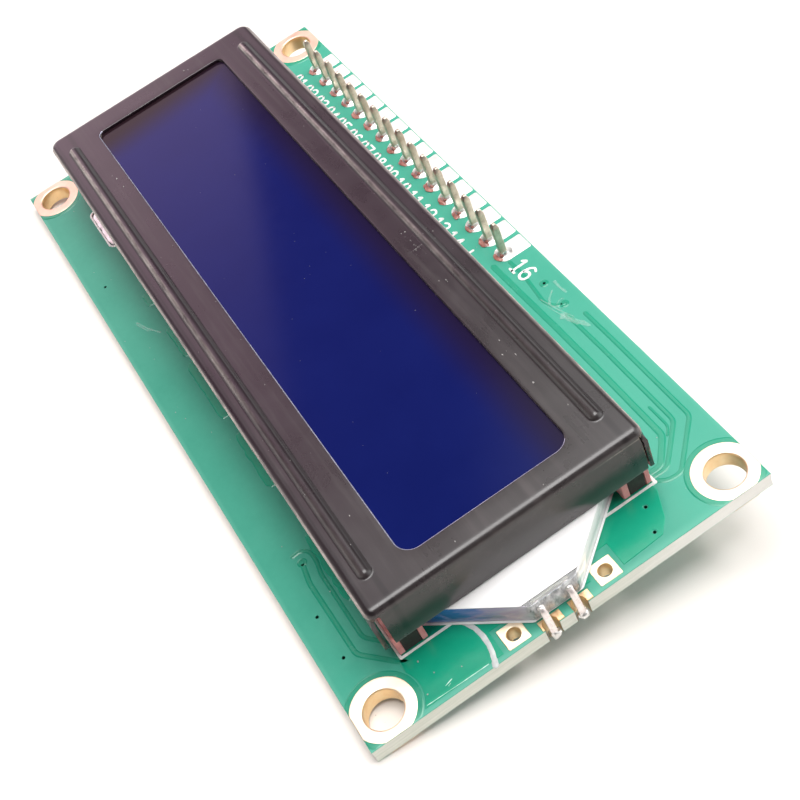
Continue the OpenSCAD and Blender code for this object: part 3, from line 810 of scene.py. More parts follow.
def board():
    B = Build()
    base = board_outline()
    holes = [circle(sx * HX, sy * HY, HR + 0.05, 48) for sx in (-1, 1) for sy in (-1, 1)]
    holes += [circle(x, PIN_Y, 0.55, 20) for x in PIN_X]
    holes += [circle(38.67, y, 0.625, 24) for y in (-4.63, 3.65)]
    sy0, sy1 = BY0 + SHEET / 2 - 0.02, BY1 - SHEET / 2
    holes += [slot_outline(x, y, 6.6, 1.0) for x in TAB_X for y in (sy0, sy1)]
    holes += [circle(x, y, 0.14, 12) for x, y in VIAS]
    levels = [(0.0, 0.035, 0.02), (-0.035, 0.0, 0.02), (-0.4, 0.0, 0.05), (-0.8, 0.0, 0.075), (-1.2, 0.0, 0.05),
              (-BT + 0.035, 0.0, 0.02), (-BT, 0.035, 0.02)]
    loops = []
    for z, inset, amp in levels:
        o = jitter(base, z, amp)
        if inset:
            o = offset(o, -inset)
        loops.append((z, o))
    idx = [B.pts([(x, y, z) for x, y in o]) for z, o in loops]
    for k in range(len(idx) - 1):
        B.ring(idx[k + 1], idx[k], 0 if k in (0,) else 1)
    top_h, bot_h = [], []
    for h in holes:
        ht = offset(ccw(h), 0.02)
        a = B.pts([(x, y, 0.0) for x, y in ht])
        b = B.pts([(x, y, -0.03) for x, y in ccw(h)])
        c = B.pts([(x, y, -BT) for x, y in ccw(h)])
        B.ring(list(reversed(b)), list(reversed(a)), 0)
        B.ring(list(reversed(c)), list(reversed(b)), 2 if len(h) < 16 else 1)
        top_h.append((ht, a))
        bot_h.append((ccw(h), c))
    flat = idx[0] + [i for _, l in top_h for i in l]
    for t in fill(loops[0][1], [p for p, _ in top_h]):
        B.face([flat[i] for i in t], 0)
    flat = idx[-1] + [i for _, l in bot_h for i in l]
    for t in fill(loops[-1][1], [p for p, _ in bot_h]):
        B.face([flat[i] for i in reversed(t)], 0)
    return B.make("board_body", ("mask", "laminate", "pit"), "board", sharp=30, replaces=("circuit_board",))


board()

# copper under the mask, on both faces: annuli, tracks and the poured areas


def copper_relief():
    B = Build()
    H = 0.034
    # annulus round each mounting hole, trimmed by the board's edges
    for sx in (-1, 1):
        for sy in (-1, 1):
            for s in (1, -1):
                cx, cy, n = sx * HX, sy * HY, 72
                rows = [[], [], [], []]
                for i in range(n):
                    t = 2 * math.pi * i / n
                    lim = min(2.36 / max(1e-6, math.cos(t) * sx) if math.cos(t) * sx > 0 else 9,
                              2.36 / max(1e-6, math.sin(t) * sy) if math.sin(t) * sy > 0 else 9)
                    ro = min(3.14, lim)
                    ri = min(2.58, lim - 0.02)
                    for k, (r, z) in enumerate(((ri, 0), (ri, H), (max(ri, ro - 0.13), H), (ro, -0.004))):
                        zz = z if s > 0 else -BT - z
                        rows[k].append((cx + r * math.cos(t), cy + r * math.sin(t), zz))
                ids = [B.pts(r) for r in rows]
                for a, b in zip(ids, ids[1:]):
                    if s > 0:
                        B.ring(b, a, 1)
                    else:
                        B.ring(a, b, 1)
    # tracks on the front
    tracks = [
        ([(22.25, -14.72), (24.4, -15.12), (32.35, -15.06), (34.95, -12.75), (35.25, -12.3)], 0.5),
        ([(21.2, -15.1), (21.15, -14.3), (21.75, -13.72), (22.9, -13.68), (24.2, -13.95), (31.4, -13.95), (33.3, -12.4)], 0.42),
        ([(6.8, 13.95), (16.7, 14.12), (22.2, 14.15), (31.75, 14.1), (33.95, 12.3), (33.98, 10.9)], 0.62),
        ([(16.2, 15.62), (21.35, 15.68), (31.2, 15.62), (34.45, 12.55), (34.4, 10.9)], 0.46),
        ([(17.2, 16.85), (21.4, 16.88), (31.65, 16.82), (35.5, 13.1), (35.4, 11.9), (34.6, 10.9)], 0.46),
        ([(7.4, 15.35), (9.7, 15.38), (13.4, 14.95), (14.5, 15.3), (14.98, 16.15)], 0.42),
        ([(28.9, 14.95), (31.35, 14.95), (32.0, 14.4)], 0.26),
    ]
    for path, w in tracks:
        p = densify(round_path(path, 0.45), 0.7)
        ribbon(B, p, w, -0.004, H, 0.13, 1)
    # via lands
    for (x, y) in VIAS[2:5]:
        rows = []
        for r, z in ((0.13, -0.004), (0.17, H), (0.33, H), (0.45, -0.004)):
            rows.append(B.pts([(a, b, z) for a, b in circle(x, y, r, 20)]))
        for a, b in zip(rows, rows[1:]):
            B.ring(b, a, 1)
    # poured copper at the lamp end
    arc = [(37.6 + 3.22 * math.cos(math.radians(a)), -15.6 + 3.22 * math.sin(math.radians(a)))
           for a in range(118, 51, -6)]
    left = [(33.2, -12.0), (35.2, -12.72)] + arc + [(39.58, -12.9), (39.55, -6.05), (37.35, -6.0), (37.3, -3.25),
                                                    (38.7, -3.2), (38.75, 2.3), (37.3, 2.32), (36.95, 2.5),
                                                    (36.9, 5.05), (39.22, 5.0), (39.12, 7.1), (39.0, 8.75),
                                                    (37.95, 9.75), (35.6, 10.78), (33.4, 10.8)]
    plate(B, left, [circle(x, y, 0.20, 20) for x, y in VIAS[:2]], -0.004, H, 0.05, 0)
    # darker, slightly raised patches of mask beside the bezel's long wall
    for (x0, x1, y, seed) in ((-16.1, -14.2, -13.72, 1), (-10.1, -5.4, -13.55, 2), (-4.3, 4.0, -13.85, 3),
                              (6.5, 13.8, -13.72, 4), (20.2, 27.9, -13.55, 5)):
        n = 14
        pts = [(x0 + (x1 - x0) * i / n, y + 0.16 * mnoise.noise(Vector((i * 0.9, seed * 3.3, 0))) + (0.22 if i in (0, n) else 0))
               for i in range(n + 1)]
        pts += [(x1 + 0.1, -12.5), (x0 - 0.1, -12.5)]
        plate(B, pts, [slot_outline(t, BY0 + SHEET / 2 - 0.02, 6.7, 1.1) for t in TAB_X if x0 - 1 < t < x1 + 1 and x1 - x0 > 7.6] and [], -0.004, H * 0.9, 0.08, 0)
    # tracks on the back
    back = [
        ([(-33, 12), (-33, 4), (-28, -1), (-20, -1)], 0.4), ([(-31, 12.5), (-31, 5), (-27, 1), (-20, 1)], 0.4),
        ([(-6, -4), (2, -4), (6, -4)], 0.4), ([(-6, -2.6), (6, -2.6)], 0.4), ([(-6, -1.2), (6, -1.2)], 0.4),
        ([(21, -4), (28, -4), (33, -9), (33, -15)], 0.5), ([(21, -0.8), (29, -0.8), (34, 4), (34, 12)], 0.5),
        ([(-24, -16), (20, -16)], 0.6), ([(-20, -14.6), (14, -14.6)], 0.4), ([(10, 12), (28, 12), (31, 9.5)], 0.4),
    ]
    for path, w in back:
        Bb = Build()
        ribbon(Bb, densify(round_path(path, 0.6), 0.8), w, -0.004, H, 0.12, 1)
        i0 = len(B.v)
        B.v += [(x, y, -BT - z) for x, y, z in Bb.v]
        for f, mm_ in zip(Bb.f, Bb.m):
            B.face([i0 + i for i in reversed(f)], mm_)
    return B.make("copper_under_mask", ("mask_cu", "trace"), "board", sharp=9)


copper_relief()

# ------------------------------------------------------------------
# plated rings and barrels of the mounting holes
# ------------------------------------------------------------------


def hole_rings():
    B = Build()
    n = 72
    for sx in (-1, 1):
        for sy in (-1, 1):
            cx, cy = sx * HX, sy * HY
            prof = [("o", -0.0, 0.0), ("o", 0.0, 0.03), ("o", -0.04, 0.05), ("o", -0.09, 0.05), ("i", 0.24, 0.05), ("i", 0.18, 0.05), ("i", 0.09, 0.036),
                    ("i", 0.03, -0.01), ("i", 0.0, -0.10), ("i", 0.012, -0.5), ("i", 0.0, -0.9), ("i", 0.01, -1.3),
                    ("i", 0.0, -BT + 0.10), ("i", 0.03, -BT + 0.01), ("i", 0.10, -BT - 0.036), ("i", 0.22, -BT - 0.05),
                    ("i", 0.27, -BT - 0.05), ("o", -0.10, -BT - 0.05), ("o", -0.05, -BT - 0.05), ("o", 0.0, -BT - 0.03), ("o", 0.0, -BT)]
            rows = []
            for kind, d, z in prof:
                row = []
                for i in range(n):
                    t = 2 * math.pi * i / n
                    lim = min(2.385 / (math.cos(t) * sx) if math.cos(t) * sx > 1e-6 else 9,
                              2.385 / (math.sin(t) * sy) if math.sin(t) * sy > 1e-6 else 9)
                    ro = min(RING_R + 0.025 * mnoise.noise(Vector((math.cos(t) * 2, math.sin(t) * 2, sx * 3 + sy))), lim)
                    r = ro + d if kind == "o" else HR + d
                    zz = z
                    if kind == "i" and abs(z) < 0.06:
                        zz = z
                    row.append((cx + r * math.cos(t), cy + r * math.sin(t), zz))
                rows.append(B.pts(row))
            for k, (a, b) in enumerate(zip(rows, rows[1:])):
                B.ring(a, b, 1 if 7 <= k <= 12 else 0)
    return B.make("hole_rings", ("ring", "barrel"), "bare_ring", sharp=50, replaces=("mounting_hole_plating",))


hole_rings()

# ------------------------------------------------------------------
# header: pads, pins, solder, residue
# ------------------------------------------------------------------


def pin_pads():
    B = Build()
    for k, x in enumerate(PIN_X):
        w = 1.04
        out = []
        for i in range(13):
            t = math.radians(180 + 180 * i / 12)
            out.append((x + w * math.cos(t), 14.6 + w + w * math.sin(t)))
        ys = [16.4, 17.2, 17.75]
        out += [(x + w, y) for y in ys]
        out += [(x + w - 0.12, 17.9), (x - w + 0.12, 17.9)]
        out += [(x - w, y) for y in reversed(ys)]
        out = [(a + 0.03 * mnoise.noise(Vector((a * 3, b * 3, k))), min(b, 17.9) + 0.03 * mnoise.noise(Vector((b * 3, a * 3, k + 7)))
                if b < 17.7 else b) for a, b in out]
        out = ccw(out)
        hole = ccw(circle(x, PIN_Y, 0.5, 24))
        loops = [(out, 0.0), (offset(out, -0.03), 0.032), (offset(out, -0.06), 0.044), (offset(out, -0.11), 0.05)]
        ids = [B.pts([(a, b, z) for a, b in lp]) for lp, z in loops]
        for a, b in zip(ids, ids[1:]):
            B.ring(a, b, 0)
        hid = B.pts([(a, b, 0.05) for a, b in hole])
        flat = ids[-1] + hid
        for t in fill(loops[-1][0], [hole]):
            B.face([flat[i] for i in t], 0)
        # back face
        bl = [(out, -BT), (offset(out, -0.06), -BT - 0.05)]
        ids = [B.pts([(a, b, z) for a, b in lp]) for lp, z in bl]
        B.ring(ids[1], ids[0], 0)
        hb = B.pts([(a, b, -BT - 0.05) for a, b in hole])
        flat = ids[-1] + hb
        for t in fill(bl[-1][0], [hole]):
            B.face([flat[i] for i in reversed(t)], 0)
        B.ring(hid, hb, 0)
    return B.make("header_pads", ("tin",), "tinned_pad", sharp=50, replaces=("pin_pads",))


def sq_loop(cx, cy, h, r, n=4, lean=(0, 0)):
    out = []
    for (sx, sy, a) in ((1, -1, -90), (1, 1, 0), (-1, 1, 90), (-1, -1, 180)):
        for i in range(n + 1):
            t = math.radians(a + 90 * i / n)
            out.append((cx + sx * (h - r) + r * math.cos(t) + lean[0], cy + sy * (h - r) + r * math.sin(t) + lean[1]))
    return out


def pins():
    B = Build()
    for k, x in enumerate(PIN_X):
        lx, ly = rng.uniform(-0.012, 0.012), rng.uniform(-0.012, 0.012)
        prof = [(PIN_BOT, 0.10, 0.03), (PIN_BOT + 0.03, 0.155, 0.04), (PIN_BOT + 0.42, 0.305, 0.05), (PIN_BOT + 0.52, 0.32, 0.05),
                (-4.3, 0.32, 0.05), (-BT, 0.32, 0.05), (0.0, 0.32, 0.05), (1.2, 0.32, 0.05), (2.4, 0.32, 0.05),
                (PIN_TOP - 0.55, 0.32, 0.05), (PIN_TOP - 0.44, 0.31, 0.05), (PIN_TOP - 0.04, 0.17, 0.05),
                (PIN_TOP - 0.01, 0.13, 0.05), (PIN_TOP, 0.08, 0.04)]
        rows = []
        for z, h, r in prof:
            t = max(0.0, z)
            rows.append(B.pts([(a, b, z) for a, b in sq_loop(x, PIN_Y, h, r, 3, (lx * t, ly * t))]))
        for a, b in zip(rows, rows[1:]):
            B.ring(a, b, 0)
        B.cap(rows[0], 0, flip=True)
        B.cap(rows[-1], 0)
    return B.make("header_pin_row", ("pin",), "header_pin", sharp=60, replaces=("header_pins",))


def fillets():
    B = Build()
    n = 24
    for k, x in enumerate(PIN_X):
        R0 = 0.84 + 0.05 * mnoise.noise(Vector((k * 1.3, 2, 5)))
        top = 0.50 + 0.05 * mnoise.noise(Vector((k * 2.1, 0, 1)))
        rows = []
        for s in range(9):
            t = s / 8
            z = CU + (top - CU) * t
            row = []
            for i in range(n):
                a = 2 * math.pi * i / n
                c, sn = math.cos(a), math.sin(a)
                q = 0.335 / max(abs(c), abs(sn)) ** 0.8
                rr = R0 * (1 + 0.08 * mnoise.noise(Vector((c * 1.5, sn * 1.5, k))))
                e = (1 - t) ** 2.4
                r = min(q, 0.43) + (rr - min(q, 0.43)) * e
                row.append((x + r * c, PIN_Y + r * sn, z))
            rows.append(B.pts(row))
        for a, b in zip(rows, rows[1:]):
            B.ring(a, b, 0)
        B.cap(rows[-1], 0)
        # the joint seen on the back
        rows = []
        for s in range(4):
            t = s / 3
            r = 0.5 - 0.02 * t
            rows.append(B.pts([(x + r * math.cos(2 * math.pi * i / n), PIN_Y + r * math.sin(2 * math.pi * i / n), -BT + (CU + BT) * t)
                               for i in range(n)]))
        for a, b in zip(rows, rows[1:]):
            B.ring(a, b, 0)
    return B.make("header_solder", ("solder",), "solder", sharp=70, replaces=("pin_solder",))


def residue():
    """Reddish flux left in front of each joint, as a thin glossy smear."""
    B = Build()
    for k, x in enumerate(PIN_X):
        a = 0.30 * mnoise.noise(Vector((k * 1.9, 3, 1)))
        w = 0.62 + 0.14 * mnoise.noise(Vector((k * 2.7, 1, 6)))
        blob(B, (x + 0.06 + a * 0.5, PIN_Y - 0.60, 0.055), w, k + 3, squash=(1.0, 0.62, 0.16), n=16, rough=0.35, zmin=0.03)
        blob(B, (x + 0.30, PIN_Y - 0.34, 0.20), 0.20, k + 40, squash=(1.0, 1.0, 0.9), n=10, rough=0.5, zmin=0.03)
    return B.make("flux_residue", ("residue",), "solder", sharp=80)


def header_plastic():
    B = Build()
    zt, zb = -BT - CU, -BT - CU - 2.54
    for x in PIN_X:
        out = [(x - 1.262, PIN_Y - 0.85), (x - 0.85, PIN_Y - 1.265), (x + 0.85, PIN_Y - 1.265), (x + 1.262, PIN_Y - 0.85),
               (x + 1.262, PIN_Y + 0.85), (x + 0.85, PIN_Y + 1.265), (x - 0.85, PIN_Y + 1.265), (x - 1.262, PIN_Y + 0.85)]
        loops = [(offset(out, -0.06), zb), (out, zb + 0.06), (out, zt - 0.06), (offset(out, -0.06), zt)]
        ids = [B.pts([(a, b, z) for a, b in lp]) for lp, z in loops]
        for a, b in zip(ids, ids[1:]):
            B.ring(a, b, 0)
        B.cap(ids[0], 0, flip=True)
        B.cap(ids[-1], 0)
    # bridges between the blocks
    for x in PIN_X[:-1]:
        xm = x - 1.27
        p = [(xm - 0.3, PIN_Y - 0.84), (xm + 0.3, PIN_Y - 0.84), (xm + 0.3, PIN_Y + 0.84), (xm - 0.3, PIN_Y + 0.84)]
        a = B.pts([(q[0], q[1], zb + 0.08) for q in p])
        b = B.pts([(q[0], q[1], zt - 0.08) for q in p])
        B.ring(a, b, 0)
        B.cap(a, 0, flip=True)
        B.cap(b, 0)
    return B.make("header_blocks", ("plastic",), "header_plastic", sharp=30, replaces=("header_body",))


pin_pads()
pins()
fillets()
residue()
header_plastic()

# ------------------------------------------------------------------
# bezel: one folded sheet with smooth beads, rounded folds and tabs
# ------------------------------------------------------------------

BEAD_Y = (-11.2, 9.35)
BEAD_X = (-33.0, 32.3)
R1, R2 = 0.60, 0.20
BH = 0.375
PHI = math.acos(1 - BH / (R1 + R2))
BHALF = (R1 + R2) * math.sin(PHI)


def bead(x, y):
    z = 0.0
    for by in BEAD_Y:
        xa, xb = BEAD_X[0] + 0.65, BEAD_X[1] - 0.65
        dx = xa - x if x < xa else (x - xb if x > xb else 0.0)
        d = math.hypot(dx, y - by)
        if d < R1 * math.sin(PHI):
            z += BH - (R1 - math.sqrt(max(0.0, R1 * R1 - d * d)))
        elif d < BHALF:
            z += R2 - math.sqrt(max(0.0, R2 * R2 - (BHALF - d) ** 2))
    return z


def fold_drop(d):
    """How far the sheet has dropped at a distance d outside the start of a fold."""
    if d <= 0:
        return 0.0
    d = min(d, FOLD)
    return FOLD - math.sqrt(max(0.0, FOLD * FOLD - d * d))


def bulge(z):
    """The end walls belly out a little between the fold and their free edge."""
    q = max(0.0, (6.5 - z) / (6.5 - WALL_BOT))
    return 0.18 * math.sin(math.pi * min(1.0, q) ** 1.25)


FOLD_Y = 0.68


def fold_width(x):
    """The long folds start further in than the short ones, easing to the corners."""
    t = min(1.0, max(0.0, (min(x - BX0, BX1 - x) - 1.2) / 3.5))
    return FOLD + (FOLD_Y - FOLD) * t * t * (3 - 2 * t)


def bezel():
    B = Build()
    fold = [FOLD * math.sin(math.radians(90 * i / 8)) for i in range(9)]
    xa, xb, ya, yb = BX0 + FOLD, BX1 - FOLD, BY0 + FOLD, BY1 - FOLD
    win = (WX0 - 1.0, WX1 + 1.0, WY0 - 0.9, WY1 + 0.85)

    def lines(core):
        out = []
        for v in sorted(core):
            if not out or v - out[-1] > 0.004:
                out.append(v)
        return out

    xs = [xa - f for f in fold] + [xb + f for f in fold] + [win[0], win[1]] + [BX0 + 0.75, BX0 + 0.95, BX0 + 1.15, BX1 - 0.8]
    xs += [BEAD_X[0] - 0.05 + 0.07 * i for i in range(12)] + [BEAD_X[1] + 0.05 - 0.07 * i for i in range(12)]
    for tx in TAB_X:
        xs += [tx - 2.5, tx + 2.5]
    xs += [BX0 + 1.2 + 0.5 * i for i in range(8)] + [BX1 - 1.2 - 0.5 * i for i in range(8)]
    xs += [-31.5 + 1.0 * i for i in range(63)]
    xs = lines(xs)
    ys = [ya - f for f in fold] + [yb + f for f in fold] + [win[2], win[3]]
    ys += [BY0 + FOLD_Y * (1 - math.sin(math.radians(a))) for a in (0, 6, 12, 18, 24, 30, 38, 46, 56)]
    ys += [BY1 - FOLD_Y * (1 - math.sin(math.radians(a))) for a in (0, 6, 12, 18, 24, 30, 38, 46, 56)]
    for by in BEAD_Y:
        ys += [by - 0.72 + 0.06 * i for i in range(25)]
    ys += [BY0 + 0.75, BY0 + 1.15, BY1 - 0.95, BY1 - 1.15]
    ys += [BY0 + SHEET, BY0 + SHEET + 0.6, BY1 - SHEET, BY1 - SHEET - 0.2]
    for yc in (BY0 + SHEET + 0.35, BY1 - SHEET - 0.15):
        ys += [yc + 0.28 * math.sin(math.radians(a)) for a in (-90, -60, -30, 0, 30, 60, 90)]
    ys += [-8.0 + 1.25 * i for i in range(13)]
    ys = lines(ys)
    P = 3.0

    def corner(x, y):
        """Distances a, b into a corner's square, its radius, and the way out of it."""
        far = x < (BX0 + BX1) / 2
        R = 1.15 if far else 0.80
        a = R - ((x - BX0) if far else (BX1 - x))
        b = R - min(y - BY0, BY1 - y)
        return a, b, R, (-1 if far else 1), (-1 if y < (BY0 + BY1) / 2 else 1)

    def plan(x, y):
        a, b, R, sx, sy = corner(x, y)
        if a <= 0 or b <= 0:
            return x, y
        a2 = a * math.sqrt(max(0.0, 1 - b * b / (2 * R * R)))
        b2 = b * math.sqrt(max(0.0, 1 - a * a / (2 * R * R)))
        return x + sx * (a2 - a), y + sy * (b2 - b)

    def height(x, y):
        a, b, R, sx, sy = corner(x, y)
        if a > 0 and b > 0:
            a2 = a * math.sqrt(max(0.0, 1 - b * b / (2 * R * R)))
            b2 = b * math.sqrt(max(0.0, 1 - a * a / (2 * R * R)))
            drop = fold_drop(math.hypot(a2, b2) - (R - FOLD))
        else:
            w = fold_width(x)
            dy = min(w, max(BY0 + w - y, y - (BY1 - w), 0.0))
            drop = max(fold_drop(max(xa - x, x - xb, 0.0)), FOLD * (1 - math.sqrt(max(0.0, 1 - (dy / w) ** 2))))
        wave = 0.006 * mnoise.noise(Vector((x * 0.10, y * 0.22, 1.7)))
        wave *= max(0.0, 1 - drop * 6)
        return BEZEL_TOP - drop + bead(x, y) + min(0.0, wave)

    in_win = lambda x, y: win[0] + 1e-6 < x < win[1] - 1e-6 and win[2] + 1e-6 < y < win[3] - 1e-6
    vid = {}

    def v(i, j):
        if (i, j) not in vid:
            x, y = xs[i], ys[j]
            vid[i, j] = B.pts([(*plan(x, y), height(x, y))])[0]
        return vid[i, j]

    nx, ny = len(xs), len(ys)
    for i in range(nx - 1):
        for j in range(ny - 1):
            cx, cy = (xs[i] + xs[i + 1]) / 2, (ys[j] + ys[j + 1]) / 2
            if win[0] < cx < win[1] and win[2] < cy < win[3]:
                continue
            B.face((v(i, j), v(i + 1, j), v(i + 1, j + 1), v(i, j + 1)), 0)
    # patch between the grid and the window's rounded edge
    iw0 = min(range(nx), key=lambda i: abs(xs[i] - win[0]))
    iw1 = min(range(nx), key=lambda i: abs(xs[i] - win[1]))
    jw0 = min(range(ny), key=lambda j: abs(ys[j] - win[2]))
    jw1 = min(range(ny), key=lambda j: abs(ys[j] - win[3]))
    loop = [(i, jw0) for i in range(iw0, iw1)] + [(iw1, j) for j in range(jw0, jw1)]
    loop += [(i, jw1) for i in range(iw1, iw0, -1)] + [(iw0, j) for j in range(jw1, jw0, -1)]
    outer = [(xs[i], ys[j]) for i, j in loop]
    oid = [v(i, j) for i, j in loop]
    wo = rounded_rect(WX0, WX1, WY0, WY1, (1.4, 1.4, 0.75, 0.75), 10)
    fine = []
    for a, b in zip(wo, wo[1:] + wo[:1]):
        k = max(1, int(math.hypot(b[0] - a[0], b[1] - a[1]) / 3.0))
        fine += [(a[0] + (b[0] - a[0]) * q / k, a[1] + (b[1] - a[1]) * q / k) for q in range(k)]
    w0 = fine
    w1 = offset(w0, 0.16)
    id1 = B.pts([(x, y, BEZEL_TOP) for x, y in w1])
    flat = oid + id1
    for t in fill(outer, [w1]):
        B.face([flat[i] for i in t], 0)
    # rolled lip, cut wall and underside lip of the window
    prev = id1
    for off, z in ((0.085, BEZEL_TOP - 0.004), (0.04, BEZEL_TOP - 0.018), (0.012, BEZEL_TOP - 0.045), (0.0, BEZEL_TOP - 0.09),
                   (0.0, BEZEL_TOP - SHEET + 0.01)):
        cur = B.pts([(x, y, z) for x, y in offset(w0, off)])
        k = len(B.f)
        B.ring(list(reversed(cur)), list(reversed(prev)), 0)
        # painted highlight: the lip on the -Y and near sides gets the pale edge paint, partly a bare edge and partly
        # standing in for the light it catches
        if 0.01 < off < 0.06:
            for q in range(k, len(B.f)):
                cx = sum(B.v[i][0] for i in B.f[q]) / 4
                cy = sum(B.v[i][1] for i in B.f[q]) / 4
                if cy < WY0 + 0.5 or cx > WX1 - 0.5:
                    B.m[q] = 1
        prev = cur
    nouter = len(B.f)
    top_faces = nouter
    # long walls with their tabs
    zb = -BT - CU
    for side in (0, 1):
        j = 0 if side == 0 else ny - 1
        yw = BY0 if side == 0 else BY1
        s = 1 if side == 0 else -1
        prof_tab = [(yw, zb + 0.2)]
        arc = []
        for q in range(0, 7):
            t = math.radians(90 * q / 6)
            arc.append((yw + s * (0.55 - 0.55 * math.cos(t)), zb + 0.2 - 0.55 * math.sin(t)))
        end = (yw + s * (SHEET + 1.7), zb - SHEET)
        cols = []
        for i in range(nx):
            x = xs[i]
            top = v(i, j)
            zt = B.v[top][2]
            col = [top]
            px, py = plan(x, ys[j])
            for z, k in ((6.3, 0.0), (6.0, 0.5), (5.7, 1.0), (4.4, 1.0), (3.4, 1.0), (WALL_BOT, 1.0)):
                col += B.pts([(px + (x - px) * k, py + (yw - py) * k, z)])
            cols.append(col)
        for i in range(nx - 1):
            a, b = cols[i], cols[i + 1]
            for k in range(len(a) - 1):
                f = (a[k + 1], b[k + 1], b[k], a[k])
                B.face(f if side == 0 else tuple(reversed(f)), 0)
        for tx in TAB_X:
            ids = [i for i in range(nx) if tx - 2.5 - 1e-6 <= xs[i] <= tx + 2.5 + 1e-6]
            rows = [[cols[i][-1] for i in ids]]
            for z in (1.2, 0.0):
                rows.append(B.pts([(xs[i], yw, z) for i in ids]))
            for (yy, zz) in arc:
                rows.append(B.pts([(xs[i], yy, zz) for i in ids]))
            rows.append(B.pts([(xs[i], end[0], end[1]) for i in ids]))
            for a, b in zip(rows, rows[1:]):
                for k in range(len(ids) - 1):
                    f = (b[k], b[k + 1], a[k + 1], a[k])
                    B.face(f if side == 0 else tuple(reversed(f)), 0)
    # end walls between their corner slits
    for side in (0, 1):
        i = 0 if side == 0 else nx - 1
        xw = BX0 if side == 0 else BX1
        slo = (BY0 + SHEET, BY0 + SHEET + 0.6, BY0 + SHEET + 0.35)
        shi = (BY1 - SHEET - 0.2, BY1 - SHEET, BY1 - SHEET - 0.15)
        cols = []
        for j in range(ny):
            y = ys[j]
            top = v(i, j)
            zs = 6.3
            for lo_, hi_, yc in (slo, shi):
                if lo_ - 1e-6 <= y <= hi_ + 1e-6 and abs(y - yc) < 0.2799:
                    zs = 6.3 + math.sqrt(0.28 ** 2 - (y - yc) ** 2) * 0.9
            px, py = plan(xs[i], y)
            col = [top] + B.pts([(px + bulge(zs) * (1 if side else -0.5), py, zs)])
            cols.append(col)
        for j in range(ny - 1):
            a, b = cols[j], cols[j + 1]
            f = (a[1], b[1], b[0], a[0])
            B.face(tuple(reversed(f)) if side == 0 else f, 0)
        yl, yh = slo[1], shi[0]
        js = [j for j in range(ny) if yl - 1e-6 <= ys[j] <= yh + 1e-6]
        rows = [[cols[j][1] for j in js]]
        for z in (6.0, 5.7, 5.4, 5.1, 4.8, 4.5, 4.2, 3.9, 3.5, 3.1, 2.75, WALL_BOT):
            rows.append(B.pts([(xw + bulge(z) * (1 if side else -0.5), ys[j], z) for j in js]))
        for a, b in zip(rows, rows[1:]):
            for k in range(len(js) - 1):
                f = (b[k], b[k + 1], a[k + 1], a[k])
                B.face(tuple(reversed(f)) if side == 0 else f, 0)
    ob = B.make("bezel_sheet", ("bezel", "edge"), "bezel_paint", sharp=180, replaces=("metal_bezel",))
    # merge the walls' edges, give the sheet its thickness, and break its sharp edges
    import bmesh
    bm = bmesh.new()
    bm.from_mesh(ob.data)
    bmesh.ops.remove_doubles(bm, verts=bm.verts, dist=2e-6)
    bm.to_mesh(ob.data)
    bm.free()
    return ob


def thicken(ob, t, bevel, segs=2, angle=50):
    sol = ob.modifiers.new("thickness", "SOLIDIFY")
    sol.thickness = t * MM
    sol.offset = -1
    sol.use_even_offset = True
    sol.use_rim = True
    if bevel:
        bv = ob.modifiers.new("edges", "BEVEL")
        bv.width = bevel * MM
        bv.segments = segs
        bv.limit_method = "ANGLE"
        bv.angle_limit = math.radians(angle)
        bv.use_clamp_overlap = True
        bv.miter_outer = "MITER_ARC"
    dg = bpy.context.evaluated_depsgraph_get()
    me = bpy.data.meshes.new_from_object(ob.evaluated_get(dg))
    ob.modifiers.clear()
    old = ob.data
    ob.data = me
    bpy.data.meshes.remove(old)
    for p in ob.data.polygons:
        p.use_smooth = True
    ob.data.set_sharp_from_angle(angle=math.radians(40))


bz = bezel()
thicken(bz, SHEET, 0.045)

# ------------------------------------------------------------------
# light guide, films, lamp and its leads
# ------------------------------------------------------------------

GUIDE = [(-34.6, -9.7), (33.5, -9.7), (38.95, -2.62), (38.95, 1.33), (33.3, 8.25), (-34.6, 8.25)]


def round_corners(poly, r, n=5):
    out = []
    m = len(poly)
    for i in range(m):
        p0, p1, p2 = Vector(poly[i - 1]), Vector(poly[i]), Vector(poly[(i + 1) % m])
        a, b = (p0 - p1).normalized(), (p2 - p1).normalized()
        s, e = p1 + a * r, p1 + b * r
        for k in range(n + 1):
            t = k / n
            q = s * (1 - t) ** 2 + p1 * 2 * t * (1 - t) + e * t * t
            out.append((q.x, q.y))
    return out


def guide():
    B = Build()
    o = ccw(round_corners(GUIDE, 0.22))
    c = 0.07
    loops = [(offset(o, -c), GZ0), (offset(o, -c * 0.3), GZ0 + c * 0.3), (o, GZ0 + c), (o, GZ1 - c), (offset(o, -c * 0.3), GZ1 - c * 0.3),
             (offset(o, -c), GZ1)]
    ids = [B.pts([(x, y, z) for x, y in lp]) for lp, z in loops]
    for a, b in zip(ids, ids[1:]):
        B.ring(a, b, 1)
    B.cap(ids[0], 0, flip=True)
    B.cap(ids[-1], 0)
    return B.make("guide_block", ("acrylic", "flank"), "guide", sharp=50, replaces=("light_guide",))


guide()


def sheet_piece(name, outline, z0, z1, key, slot, node, curl=0.0):
    B = Build()
    o = ccw(outline)
    b = min(0.03, (z1 - z0) * 0.3)
    loops = [(offset(o, -b), z0), (o, z0 + b), (o, z1 - b), (offset(o, -b), z1)]
    ids = [B.pts([(x, y, z) for x, y in lp]) for lp, z in loops]
    for p, q in zip(ids, ids[1:]):
        B.ring(p, q, 0)
    B.cap(ids[0], 0, flip=True)
    B.cap(ids[-1], 0)
    return B.make(name, (key,), slot, sharp=50, replaces=(node,))


